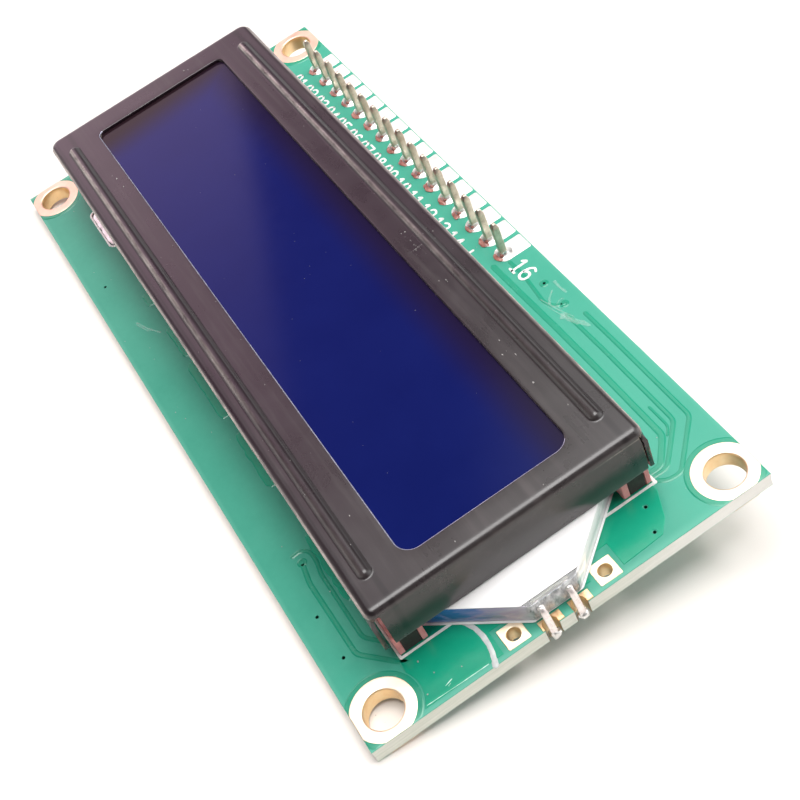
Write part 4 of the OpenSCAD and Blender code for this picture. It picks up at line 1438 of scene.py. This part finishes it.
def clip_x(poly, xmax):
    out = []
    for a, b in zip(poly, poly[1:] + poly[:1]):
        ina, inb = a[0] <= xmax, b[0] <= xmax
        if ina:
            out.append(a)
        if ina != inb:
            t = (xmax - a[0]) / (b[0] - a[0])
            out.append((xmax, a[1] + (b[1] - a[1]) * t))
    return out


FZ0, FZ1 = nbox("diffuser_film")[0][2], nbox("diffuser_film")[1][2]
RZ0, RZ1 = nbox("reflector_film")[0][2], nbox("reflector_film")[1][2]
sheet_piece("top_film", round_corners(clip_x(GUIDE, 38.45), 0.15), FZ0, FZ1, "film", "film", "diffuser_film")
sheet_piece("under_film", round_corners([(-34.6, -9.75), (33.62, -9.75), (38.93, -2.88), (38.93, 1.56), (33.42, 8.3), (-34.6, 8.3)], 0.15),
            RZ0, RZ1, "film", "film", "reflector_film")


def lead_path():
    z = GZ0 + 1.38
    return [(38.5, z), (38.9, z), (39.08, z + 0.0), (39.22, z - 0.06), (39.32, z - 0.18), (39.40, z - 0.36), (39.50, z - 0.66),
            (39.62, z - 1.02), (39.74, 0.05), (39.83, -0.35), (39.88, -0.8), (39.90, -1.3), (39.90, -1.86)]


def leads():
    B = Build()
    path = lead_path()
    T = 0.12
    for k, y in enumerate((-2.02, 0.52)):
        rows = []
        for i, (x, z) in enumerate(path):
            a = path[max(0, i - 1)]
            b = path[min(len(path) - 1, i + 1)]
            d = Vector((b[0] - a[0], b[1] - a[1])).normalized()
            nx, nz = -d.y, d.x
            hw = 0.28
            if i in (3, 4):
                hw = 0.23
            if i >= len(path) - 2:
                hw = 0.28 - 0.05 * (i - len(path) + 3)
            th = T * (1.0 if i < len(path) - 1 else 0.6)
            wob = 0.02 * mnoise.noise(Vector((i * 0.7, k * 5, 0)))
            sec = []
            for (u, w) in ((-hw + 0.05, -th), (hw - 0.05, -th), (hw, -th + 0.05), (hw, th - 0.05), (hw - 0.05, th), (-hw + 0.05, th),
                           (-hw, th - 0.05), (-hw, -th + 0.05)):
                sec.append((min(40.24, x + nx * w), y + u + wob, z + nz * w))
            rows.append(B.pts(sec))
        for a, b in zip(rows, rows[1:]):
            B.ring(a, b, 0)
        B.cap(rows[0], 0, flip=True)
        B.cap(rows[-1], 0)
    return B.make("lamp_leads", ("lead",), "lead", sharp=55, replaces=("led_leads",))


def lead_solder():
    B = Build()
    for k, y in enumerate((-2.0, 0.57)):
        blob(B, (39.80, y + 0.02, -1.34), 0.44, 3 + k * 5, squash=(0.9, 1.12, 1.0), n=16, rough=0.5)
        blob(B, (39.93, y - 0.22, -1.02), 0.17, 9 + k, squash=(1, 1, 1.4), n=10, rough=0.5)
        blob(B, (39.95, y + 0.24, -1.55), 0.16, 12 + k, squash=(1, 1, 1.2), n=10, rough=0.5)
    # little beads of solder where each lead leaves the guide
    for k, y in enumerate((-2.02, 0.52)):
        blob(B, (39.02, y - 0.02, GZ0 + 1.50), 0.15, 21 + k, squash=(1.1, 1.5, 0.8), n=10, rough=0.5)
    for p in B.v:
        pass
    B.v = [(min(x, 40.2), yv, z) for x, yv, z in B.v]
    return B.make("lamp_solder", ("solder",), "solder", sharp=80, replaces=("led_solder",))


leads()
lead_solder()


def small_pads():
    B = Build()
    for cy in (-4.63, 3.65):
        o = rounded_rect(37.67, 39.67, cy - 1, cy + 1, 0.12, 3)
        plate(B, o, [circle(38.67, cy, 0.575, 28)], 0.0, 0.05, 0.05, 0, drop=0.03)
        rows = []
        for r, z in ((0.625, 0.05), (0.59, 0.035), (0.575, -0.02), (0.575, -0.8), (0.575, -BT - 0.05)):
            rows.append(B.pts([(a, b, z) for a, b in circle(38.67, cy, r, 28)]))
        for k, (a, b) in enumerate(zip(rows, rows[1:])):
            B.ring(a, b, 1 if k > 1 else 0)
        # back face
        ids = [B.pts([(x, y, z) for x, y in lp]) for lp, z in ((ccw(o), -BT), (offset(ccw(o), -0.04), -BT - 0.05))]
        B.ring(ids[1], ids[0], 0)
        hid = B.pts([(a, b, -BT - 0.05) for a, b in ccw(circle(38.67, cy, 0.575, 28))])
        flat = ids[-1] + hid
        for t in fill(offset(ccw(o), -0.04), [ccw(circle(38.67, cy, 0.575, 28))]):
            B.face([flat[i] for i in reversed(t)], 0)
    return B.make("wire_pads", ("gold", "barrel"), "gold_pad", sharp=24, replaces=("backlight_pads",))


def edge_pads():
    B = Build()
    for k, (y0, y1) in enumerate(((-2.8, -0.85), (-0.1, 1.75))):
        yn = NOTCH[k]
        o = [(39.05, y0), (39.95, y0)]
        r = 0.6
        if yn - r > y0 + 0.05:
            o.append((39.95, yn - r))
        for i in range(13):
            t = math.radians(-90 - 180 * i / 12)
            o.append((NX + r * math.cos(t) - 0.0, yn + r * math.sin(t)))
        o.append((39.95, yn + r))
        o += [(39.95, y1), (39.05, y1)]
        cl = [o[0]]
        for p in o[1:]:
            if math.hypot(p[0] - cl[-1][0], p[1] - cl[-1][1]) > 1e-4:
                cl.append(p)
        plate(B, cl, [], 0.0, 0.05, 0.035, 0, drop=0.03)
        ids = B.pts([(x, y, -BT - 0.04) for x, y in ccw(cl)])
        for t in fill(ccw(cl), []):
            B.face([ids[i] for i in reversed(t)], 0)
        # plating inside the notch
        rows = []
        for z in (0.05, 0.0, -0.5, -1.1, -BT - 0.04):
            row = [(39.95, yn - r, z)]
            for i in range(17):
                t = math.radians(-90 - 180 * i / 16)
                row.append((NX + r * math.cos(t), yn + r * math.sin(t), z))
            row.append((39.95, yn + r, z))
            rows.append(B.pts(row))
        for a, b in zip(rows, rows[1:]):
            B.ring(b, a, 1, closed=False)
    return B.make("lamp_edge_pads", ("gold_edge", "barrel"), "gold_pad", sharp=24, replaces=("led_edge_pads",))


small_pads()
edge_pads()

# ------------------------------------------------------------------
# grounded tab: tinned land and its lumpy solder
# ------------------------------------------------------------------


def ground_tab():
    B = Build()
    y = BY0 + SHEET / 2 - 0.02
    plate(B, slot_outline(TAB_X[0], y, 7.1, 1.5), [slot_outline(TAB_X[0], y, 6.6, 1.0)], 0.0, 0.05, 0.04, 0)
    n = 40
    top = []
    for i in range(n + 1):
        q = i / n
        x = TAB_X[0] - 3.42 + 6.84 * q
        end = (abs(q - 0.5) * 2) ** 7
        yo = -13.40 + 0.14 * mnoise.noise(Vector((i * 0.23, 1, 4))) + 0.45 * end
        yi = y + 0.45 - 0.5 * end * 0.6
        row = []
        for k in range(9):
            t = k / 8
            yy = yo + (yi - yo) * t
            zz = 0.072 * math.sin(math.pi * min(1.0, t * 1.05)) ** 0.4 if 0 < k < 8 else 0.02
            row.append((x, yy, min(0.079, zz + (0.010 * mnoise.noise(Vector((i * 0.5, k * 0.9, 2))) if 0 < k < 8 else 0.0))))
        top.append(B.pts(row))
    for a, b in zip(top, top[1:]):
        for k in range(8):
            B.face((a[k], b[k], b[k + 1], a[k + 1]), 1)
    return B.make("ground_tab_tin", ("tin", "solder"), "solder", sharp=80, replaces=("ground_slot_pad", "ground_tab_solder"))


ground_tab()

# ------------------------------------------------------------------
# rubber strips with their cut ends
# ------------------------------------------------------------------


def strips():
    z0, z1 = CU, nbox("upper_strip_core")[1][2]
    x0, x1 = -35.4, 34.7

    def bar(B, ya, yb, m, seed, rough, setback=0.0):
        n = 5
        stations = [x0, x0 + 0.1, -20, -5, 10, 25, x1 - 1.2, x1 - 0.4, x1 - 0.12, x1]
        rows = []
        for s, x in enumerate(stations):
            row = []
            last = s >= len(stations) - 2
            c = 0.05 if (s in (0, len(stations) - 1)) else 0.0
            pts = []
            for k in range(n):
                pts.append((ya + c + (yb - ya - 2 * c) * k / (n - 1), z0 + c * 0.5))
            for k in range(1, 7):
                pts.append((yb - c, z0 + (z1 - z0) * k / 6 - (c if k == 6 else 0)))
            for k in range(1, n):
                pts.append((yb - c - (yb - ya - 2 * c) * k / (n - 1), z1 - c))
            for k in range(1, 6):
                pts.append((ya + c, z1 - (z1 - z0) * k / 6))
            for q, (yy, zz) in enumerate(pts):
                dx = 0.0
                if last:
                    dx = -setback - rough * (0.5 + 0.5 * mnoise.noise(Vector((yy * 2.2, zz * 0.9, seed))))
                row.append((x + dx, yy, zz))
            rows.append(B.pts(row))
        for a, b in zip(rows, rows[1:]):
            B.ring(b, a, m)
        for r, flip in ((rows[0], True), (rows[-1], False)):
            cx = sum(B.v[i][0] for i in r) / len(r)
            cy = sum(B.v[i][1] for i in r) / len(r)
            cz = sum(B.v[i][2] for i in r) / len(r)
            c = B.pts([(cx - (0.03 if not flip else -0.0), cy, cz)])[0]
            B.fan(r, c, m, flip=flip)

    for nm, (inner, core, outer), nodes in (
            ("upper", ((8.35, 8.97), (8.97, 10.45), (10.45, 10.95)), ("upper_strip_core", "upper_strip_sides")),
            ("lower", ((-10.3, -9.8), (-11.83, -10.3), (-12.35, -11.83)), ("lower_strip_core", "lower_strip_sides"))):
        B = Build()
        bar(B, core[0], core[1], 0, 3, 0.03, 0.03)
        B.make(nm + "_rubber", ("core",), "strip_core", sharp=50, replaces=(nodes[0],))
        B = Build()
        bar(B, inner[0], inner[1] - 0.004, 0, 11, 0.06)
        bar(B, outer[0] + 0.004, outer[1], 0, 17, 0.06)
        B.make(nm + "_sponge", ("sponge",), "strip_side", sharp=50, replaces=(nodes[1],))


strips()

# ------------------------------------------------------------------
# white print: outline of the bezel, numbers and the back's marks
# ------------------------------------------------------------------

GLYPH = {
    "0": [[(0.5, 1), (0.15, 0.9), (0, 0.5), (0.15, 0.1), (0.5, 0), (0.85, 0.1), (1, 0.5), (0.85, 0.9), (0.5, 1)]],
    "1": [[(0.2, 0.78), (0.55, 1), (0.55, 0)], [(0.2, 0), (0.9, 0)]],
    "2": [[(0.02, 0.78), (0.2, 0.97), (0.55, 1), (0.9, 0.88), (0.95, 0.65), (0.7, 0.4), (0, 0), (1, 0)]],
    "3": [[(0.02, 0.85), (0.3, 1), (0.75, 0.97), (0.93, 0.75), (0.75, 0.55), (0.4, 0.53)], [(0.75, 0.55), (0.98, 0.3), (0.8, 0.05), (0.35, 0), (0, 0.15)]],
    "4": [[(0.75, 0), (0.75, 1), (0, 0.3), (1, 0.3)]],
    "5": [[(0.92, 1), (0.12, 1), (0.06, 0.56), (0.5, 0.64), (0.92, 0.5), (0.98, 0.25), (0.75, 0.03), (0.3, 0), (0, 0.14)]],
    "6": [[(0.85, 0.9), (0.5, 1), (0.15, 0.8), (0, 0.4), (0.12, 0.1), (0.5, 0), (0.88, 0.1), (0.97, 0.34), (0.8, 0.56), (0.45, 0.6), (0.1, 0.45)]],
    "7": [[(0, 1), (1, 1), (0.4, 0)]],
    "8": [[(0.5, 0.54), (0.12, 0.7), (0.2, 0.94), (0.5, 1), (0.8, 0.94), (0.88, 0.7), (0.5, 0.54), (0.06, 0.34), (0.12, 0.07), (0.5, 0), (0.88, 0.07),
           (0.94, 0.34), (0.5, 0.54)]],
    "9": [[(0.12, 0.1), (0.5, 0), (0.85, 0.2), (1, 0.6), (0.88, 0.9), (0.5, 1), (0.12, 0.9), (0.03, 0.66), (0.2, 0.44), (0.55, 0.4), (0.9, 0.55)]],
    "+": [[(0.5, 0.12), (0.5, 0.88)], [(0.05, 0.5), (0.95, 0.5)]],
    "-": [[(0.1, 0.5), (0.9, 0.5)]],
}


def write(B, text, x, y, h, w, stroke, gap, z0, z1, m=0, flip=False):
    """Numbers that read along +X with their tops towards +Y; x and y are the text's centre."""
    total = len(text) * w + (len(text) - 1) * gap
    cx = x - total / 2
    for ch in text:
        for line in GLYPH[ch]:
            pts = [(cx + px * w, y - h / 2 + py * h) for px, py in line]
            if len(pts) > 2:
                pts = round_path(pts, 0.12 * h)
            if flip:
                pts = [(2 * x - a, b) for a, b in pts]
            ribbon(B, pts, stroke, z0, z1, 0.02, m)
        cx += w + gap


def print_marks():
    B = Build()
    z0, z1 = -0.002, 0.022
    out = densify([(35.0 - 0.1, -12.40), (34.9, 11.1)], 1.2)
    ribbon(B, out, 0.28, z0, 0.052, 0.03, 0, wob=0.03)
    ribbon(B, densify([(34.9, -12.42), (-34.9, -12.42)], 2.5), 0.26, z0, z1 + 0.02, 0.03, 0, wob=0.02)
    ribbon(B, densify([(34.9, 11.06), (-34.9, 11.06)], 2.5), 0.28, z0, z1 + 0.02, 0.03, 0, wob=0.02)
    plate(B, [(33.9, 10.96), (35.03, 10.96), (35.03, 11.22), (34.3, 11.22)], [], z0, 0.05, 0.02, 0)
    names = ["16", "15", "14", "13", "12", "11", "10", "09", "08", "07", "06", "05", "04", "03", "02", "01"]
    for k, x in enumerate(PIN_X):
        t = names[k]
        t = "-" if t == "16" else ("+" if t == "15" else t)
        if len(t) == 2:
            write(B, t, x + 0.1, 13.15, 1.32, 0.80, 0.23, 0.30, z0, z1 + 0.02)
        else:
            write(B, t, x + 0.1, 13.15, 1.35, 1.05, 0.25, 0.2, z0, z1 + 0.02)
    # the end of the header, larger
    write(B, "16", 9.05, 15.75, 1.7, 0.95, 0.26, 0.35, z0, z1 + 0.03)
    write(B, "1", -34.2, 12.6, 1.3, 0.8, 0.22, 0.3, z0, z1 + 0.02)
    ob = B.make("white_print_front", ("silk",), "film", sharp=60)
    # a dull printed arc that runs from under the light guide to the lamp edge
    B = Build()
    arc = [(35.0, -7.35), (35.6, -6.98), (36.4, -6.66), (37.3, -6.52), (38.2, -6.55), (38.9, -6.68), (39.5, -6.88), (39.93, -7.05)]
    ribbon(B, densify(arc, 0.25), 0.5, z0, 0.046, 0.06, 0, wob=0.03)
    B.make("grey_print_arc", ("silk_grey",), "film", sharp=60)
    # back: outlines round the parts, pin numbers
    Bb = Build()
    for (cx, cy) in ((-13, -2.2), (13.5, -2.2)):
        ribbon(Bb, circle(cx, cy, 7.3, 64), 0.2, -0.002, 0.022, 0.03, 0, closed=True)
    for (x, y, q) in ((30.5, 9.5, 0), (30.5, 6.8, 0), (30.5, 4.1, 0), (30.5, 1.4, 0), (-1, 6.2, 1), (2.2, 6.2, 1), (28.5, -6.5, 1),
                      (31.5, -6.5, 1), (-26.5, 6.0, 0), (-26.5, 2.8, 0)):
        a, b = (1.45, 0.95) if q == 0 else (0.95, 1.45)
        ribbon(Bb, [(x - a, y - b), (x + a, y - b), (x + a, y + b), (x - a, y + b)], 0.15, -0.002, 0.02, 0.03, 0, closed=True)
    write(Bb, "1", -34.2, 15.5, 1.5, 0.8, 0.22, 0.3, -0.002, 0.022, flip=True)
    write(Bb, "16", 9.2, 15.5, 1.5, 0.8, 0.22, 0.3, -0.002, 0.022, flip=True)
    B2 = Build()
    B2.v = [(x, y, -BT - z) for x, y, z in Bb.v]
    for f in Bb.f:
        B2.face(tuple(reversed(f)), 0)
    B2.make("white_print_back", ("silk",), "film", sharp=60)


print_marks()

# ------------------------------------------------------------------
# dust and scuffs
# ------------------------------------------------------------------


def specks():
    B = Build()
    r2 = random.Random(7)
    named = [(4.26, 8.35, 0.07), (6.86, 7.97, 0.05), (6.06, 10.2, 0.06), (11.77, 8.10, 0.08), (6.2, 8.15, 0.05), (25.9, 7.6, 0.07), (20.5, 7.9, 0.07), (21.9, 7.3, 0.08), (22.6, 8.1, 0.06), (12.0, 8.1, 0.06), (11.4, 7.6, 0.05),
             (4.2, 8.0, 0.05), (29.5, 8.4, 0.05), (-24.6, -9.3, 0.08), (-22.9, -9.2, 0.07), (-25.4, -9.5, 0.05),
             (-34.2, 2.9, 0.10), (-34.0, 3.3, 0.07), (26.6, -9.7, 0.05), (33.9, -4.6, 0.05), (34.2, 3.0, 0.05)]
    for i, (x, y, r) in enumerate(named):
        blob(B, (x, y, BEZEL_TOP + r * 0.2), r, i, squash=(1.5, 0.8, 0.35), n=7, rough=0.8)
    for i in range(46):
        x, y = r2.uniform(-35, 34.4), r2.choice([r2.uniform(-12.3, -8.4), r2.uniform(6.9, 10.6)])
        r = r2.uniform(0.018, 0.04)
        blob(B, (x, y, BEZEL_TOP + bead(x, y) + r * 0.2), r, 50 + i, squash=(1, 1, 0.5), n=6, rough=0.8)
    for i in range(24):
        x, y = r2.uniform(-32, 31.5), r2.uniform(-7.6, 6.2)
        r = r2.uniform(0.015, 0.03)
        blob(B, (x, y, 6.85 + r * 0.3), r, 120 + i, squash=(1, 1, 0.5), n=6, rough=0.8)
    for (y, z, r) in ((-2.2, 5.4, 0.07), (-9.3, 4.0, 0.06), (-9.5, 2.9, 0.08), (-9.2, 2.75, 0.07), (-6.0, 3.4, 0.04), (4.4, 5.2, 0.04), (7.3, 3.9, 0.04)):
        blob(B, (BX1 + 0.005, y, z), r, int(y * 7 + z), squash=(0.3, 1, 1), n=7, rough=0.8)
    for i in range(40):
        x, y = r2.uniform(-39, 39), r2.choice([r2.uniform(-17.6, -13.7), r2.uniform(11.9, 14.2)])
        r = r2.uniform(0.02, 0.05)
        blob(B, (x, y, 0.02), r, 200 + i, squash=(1.3, 1, 0.4), n=6, rough=0.8, zmin=0.0)
    for (x, y, r) in ((35.96, -11.54, 0.08), (38.7, -12.3, 0.06), (37.5, -11.0, 0.05), (38.4, -9.1, 0.05)):
        blob(B, (x, y, 0.05), r, int(x * 9), squash=(1.3, 1, 0.4), n=7, rough=0.8, zmin=0.03)
    B.v = [(min(x, 40.1), y, min(z, 7.578)) for x, y, z in B.v]
    for path in ([(5.43, 8.19), (6.4, 8.24), (7.3, 8.42), (7.92, 8.40)], [(6.61, 9.16), (6.7, 8.4), (6.72, 7.9), (6.76, 7.41)]):
        ribbon(B, densify(path, 0.12), 0.035, BEZEL_TOP - 0.01, BEZEL_TOP + 0.004, 0.012, 0, wob=0.05)
    return B.make("dust_specks", ("dust",), "film", sharp=80)


def scuffs():
    """Faint scratches and rubbed, hazy places on the mask, and one painted highlight."""
    B = Build()
    z = 0.012
    for path, w, m in (
            ([(38.96, -10.85), (38.88, -10.55), (38.79, -10.23)], 0.08, 0), ([(39.12, -10.7), (39.02, -10.45)], 0.04, 0),
            ([(13.2, 14.9), (14.0, 15.1), (15.3, 15.4), (16.8, 15.9)], 0.16, 1), ([(15.9, 15.3), (17.2, 15.8), (18.5, 16.3)], 0.36, 1), ([(16.2, 15.2), (17.6, 15.7)], 0.5, 1),
            ([(13.4, 14.75), (15.1, 15.05), (16.4, 15.35)], 0.07, 1), ([(12.3, 16.95), (13.1, 16.9), (14.0, 17.0)], 0.25, 1),
            ([(13.0, 16.2), (13.6, 15.5), (14.1, 15.2)], 0.18, 1),
            ([(-13.2, -15.5), (-11.6, -14.9), (-10.2, -14.1)], 0.16, 1), ([(-12.9, -15.6), (-11.2, -14.95)], 0.1, 1)):
        ribbon(B, densify(path, 0.25), w, -0.002 if m == 0 else 0.036, z + 0.034 if m == 0 else 0.042, w * 0.3, m, wob=w * 0.5)
    # pale arc worn round one via, and a painted highlight: a pale ridge along the edge of the poured copper
    ribbon(B, [(14.96 + 0.62 * math.cos(math.radians(a)), 16.15 + 0.62 * math.sin(math.radians(a))) for a in range(150, 330, 12)],
           0.10, -0.002, 0.036, 0.03, 1, wob=0.04)
    ribbon(B, densify([(39.42, -12.75), (39.5, -10.0), (39.52, -7.4)], 0.6), 0.07, -0.002, 0.045, 0.02, 0, wob=0.02)
    return B.make("mask_scuffs", ("scuff", "haze"), "film", sharp=80)


specks()
scuffs()

# ------------------------------------------------------------------
# materials of the CAD nodes that stay as they are
# ------------------------------------------------------------------

dress("front_polariser", "polariser")
dress("front_glass", "glass")
dress("rear_glass", "glass")
dress("rear_polariser", "polariser")
dress("backlight_led", "led")
dress("contact_fingers", "finger")
dress("controller_dome", "resin")
dress("driver_dome", "resin")
dress("chip_resistors", "chip_black")
dress("chip_capacitors", "chip_tan")
dress("chip_terminals", "terminal")

# ------------------------------------------------------------------
# floor, light and camera
# ------------------------------------------------------------------


def floor():
    s, n = 1.2, 24
    slope = 0.166
    verts, faces = [], []
    for i in range(n + 1):
        for j in range(n + 1):
            x, y = -s + 2 * s * i / n, -s + 2 * s * j / n
            verts.append((x, y, -0.0016 - slope * (y + 0.018) - 0.00001))
    for i in range(n):
        for j in range(n):
            a = i * (n + 1) + j
            faces.append((a, a + n + 1, a + n + 2, a + 1))
    me = bpy.data.meshes.new("floor")
    me.from_pydata(verts, [], faces)
    m = Mat("floor_pale")
    m.color(m.ramp(m.noise(9, 3.0), [(0.3, (0.73, 0.698, 0.668)), (0.7, (0.75, 0.718, 0.688))]))
    m.rough(m.mrange(m.noise(30, 2.0), 0.3, 0.7, 0.75, 0.85))
    m.set(Specular_IOR_Level=0.1, Emission_Color=(1, 0.97, 0.94, 1), Emission_Strength=0.04)
    me.materials.append(m.m)
    ob = bpy.data.objects.new("floor", me)
    scene.collection.objects.link(ob)
    return ob


floor()


RIGHT = Vector((0.47945389371496294, 0.8259639463555188, -0.2964920287670112))
DOWN = Vector((0.5914993911182429, -0.553738344964976, -0.5860907059681086))
FWD = Vector((-0.6482687977284642, 0.10562861655946129, -0.7540491769476474))


def studio():
    """A soft studio as a world: a bright box overhead, a pale backdrop low down, and darker walls between."""
    w = bpy.data.worlds.new("studio")
    scene.world = w
    w.use_nodes = True
    nt = w.node_tree
    nt.nodes.clear()
    out = nt.nodes.new("ShaderNodeOutputWorld")
    bg = nt.nodes.new("ShaderNodeBackground")
    tc = nt.nodes.new("ShaderNodeTexCoord")
    nrm = nt.nodes.new("ShaderNodeVectorMath")
    nrm.operation = "NORMALIZE"
    nt.links.new(tc.outputs["Generated"], nrm.inputs[0])

    def dot(v):
        n = nt.nodes.new("ShaderNodeVectorMath")
        n.operation = "DOT_PRODUCT"
        v = Vector(v).normalized()
        n.inputs[1].default_value = v
        nt.links.new(nrm.outputs[0], n.inputs[0])
        return n.outputs["Value"]

    def rng_(val, a, b, c, d):
        r = nt.nodes.new("ShaderNodeMapRange")
        r.interpolation_type = "SMOOTHSTEP"
        for key, v in zip(("From Min", "From Max", "To Min", "To Max"), (a, b, c, d)):
            r.inputs[key].default_value = v
        nt.links.new(val, r.inputs["Value"])
        return r.outputs[0]

    def math_(op, a, b):
        n = nt.nodes.new("ShaderNodeMath")
        n.operation = op
        for i, v in enumerate((a, b)):
            if isinstance(v, (int, float)):
                n.inputs[i].default_value = v
            else:
                nt.links.new(v, n.inputs[i])
        return n.outputs[0]

    def direction(az, el):
        a, e = math.radians(az), math.radians(el)
        return (math.cos(a) * math.cos(e), math.sin(a) * math.cos(e), math.sin(e))

    def mul(*vals):
        out_ = vals[0]
        for v in vals[1:]:
            out_ = math_("MULTIPLY", out_, v)
        return out_

    up = dot((0, 0, 1))
    total = math_("ADD", 0.07, 0.0)
    # overhead box
    total = math_("ADD", total, rng_(dot(direction(112, 80)), math.cos(math.radians(25)), math.cos(math.radians(20)), 0.0, 8.0))
    # low backdrop all round, except behind the camera
    low = rng_(up, math.sin(math.radians(13)), math.sin(math.radians(22)), 1.0, 0.0)
    back = rng_(dot(direction(0, 5)), 0.25, 0.75, 1.0, 0.12)
    total = math_("ADD", total, mul(low, back, 1.05))
    # a pale wall beyond the far end, with a clean right-hand edge
    a0, a1 = (248 - 400) / 1385.34, (294 - 400) / 1385.34
    flip = Vector((1, 1, -1))
    d0 = (FWD + RIGHT * a0 + DOWN * ((140 - 400) / 1385.34)) * flip
    d1 = (FWD + RIGHT * a1 + DOWN * ((440 - 400) / 1385.34)) * flip
    edge = d0.cross(d1).normalized()
    inner = (FWD + RIGHT * ((150 - 400) / 1385.34) + DOWN * ((250 - 400) / 1385.34)) * flip
    if edge.dot(inner) < 0:
        edge = -edge
    wall = mul(rng_(dot(edge), -0.010, 0.010, 0.0, 1.0), rng_(dot(direction(125, 0)), 0.13, 0.24, 0.0, 1.0),
               rng_(up, 0.80, 0.87, 1.0, 0.0), rng_(up, 0.54, 0.74, 2.1, 0.68), rng_(up, 0.22, 0.34, 0.0, 1.0))
    # a soft panel high on the right
    total = math_("ADD", total, rng_(dot(direction(148, 56)), math.cos(math.radians(13)), math.cos(math.radians(7)), 0.0, 1.4))
    # soft fill from the header's side
    total = math_("ADD", total, rng_(dot(direction(64, 24)), math.cos(math.radians(40)), math.cos(math.radians(15)), 0.0, 1.7))
    nt.links.new(total, bg.inputs["Strength"])
    bg.inputs["Color"].default_value = (1.0, 0.99, 0.98, 1)
    bg2 = nt.nodes.new("ShaderNodeBackground")
    nt.links.new(wall, bg2.inputs["Strength"])
    bg2.inputs["Color"].default_value = (1.0, 0.73, 0.84, 1)
    both = nt.nodes.new("ShaderNodeAddShader")
    nt.links.new(bg.outputs[0], both.inputs[0])
    nt.links.new(bg2.outputs[0], both.inputs[1])
    nt.links.new(both.outputs[0], out.inputs[0])


studio()

cam_data = bpy.data.cameras.new("camera")
cam = bpy.data.objects.new("camera", cam_data)
scene.collection.objects.link(cam)
rot = Matrix((RIGHT, -DOWN, -FWD)).transposed()
cam.matrix_world = Matrix.Translation(Vector((90.46053892, -12.74253285, 89.29414542)) * MM) @ rot.to_4x4()
cam_data.lens = 62.3405
cam_data.sensor_width = 36
cam_data.sensor_fit = "HORIZONTAL"
cam_data.clip_start = 0.002
cam_data.clip_end = 10
scene.camera = cam
scene.view_settings.view_transform = "Standard"
scene.view_settings.look = "None"
scene.view_settings.exposure = 0.0
scene.view_settings.gamma = 1.0
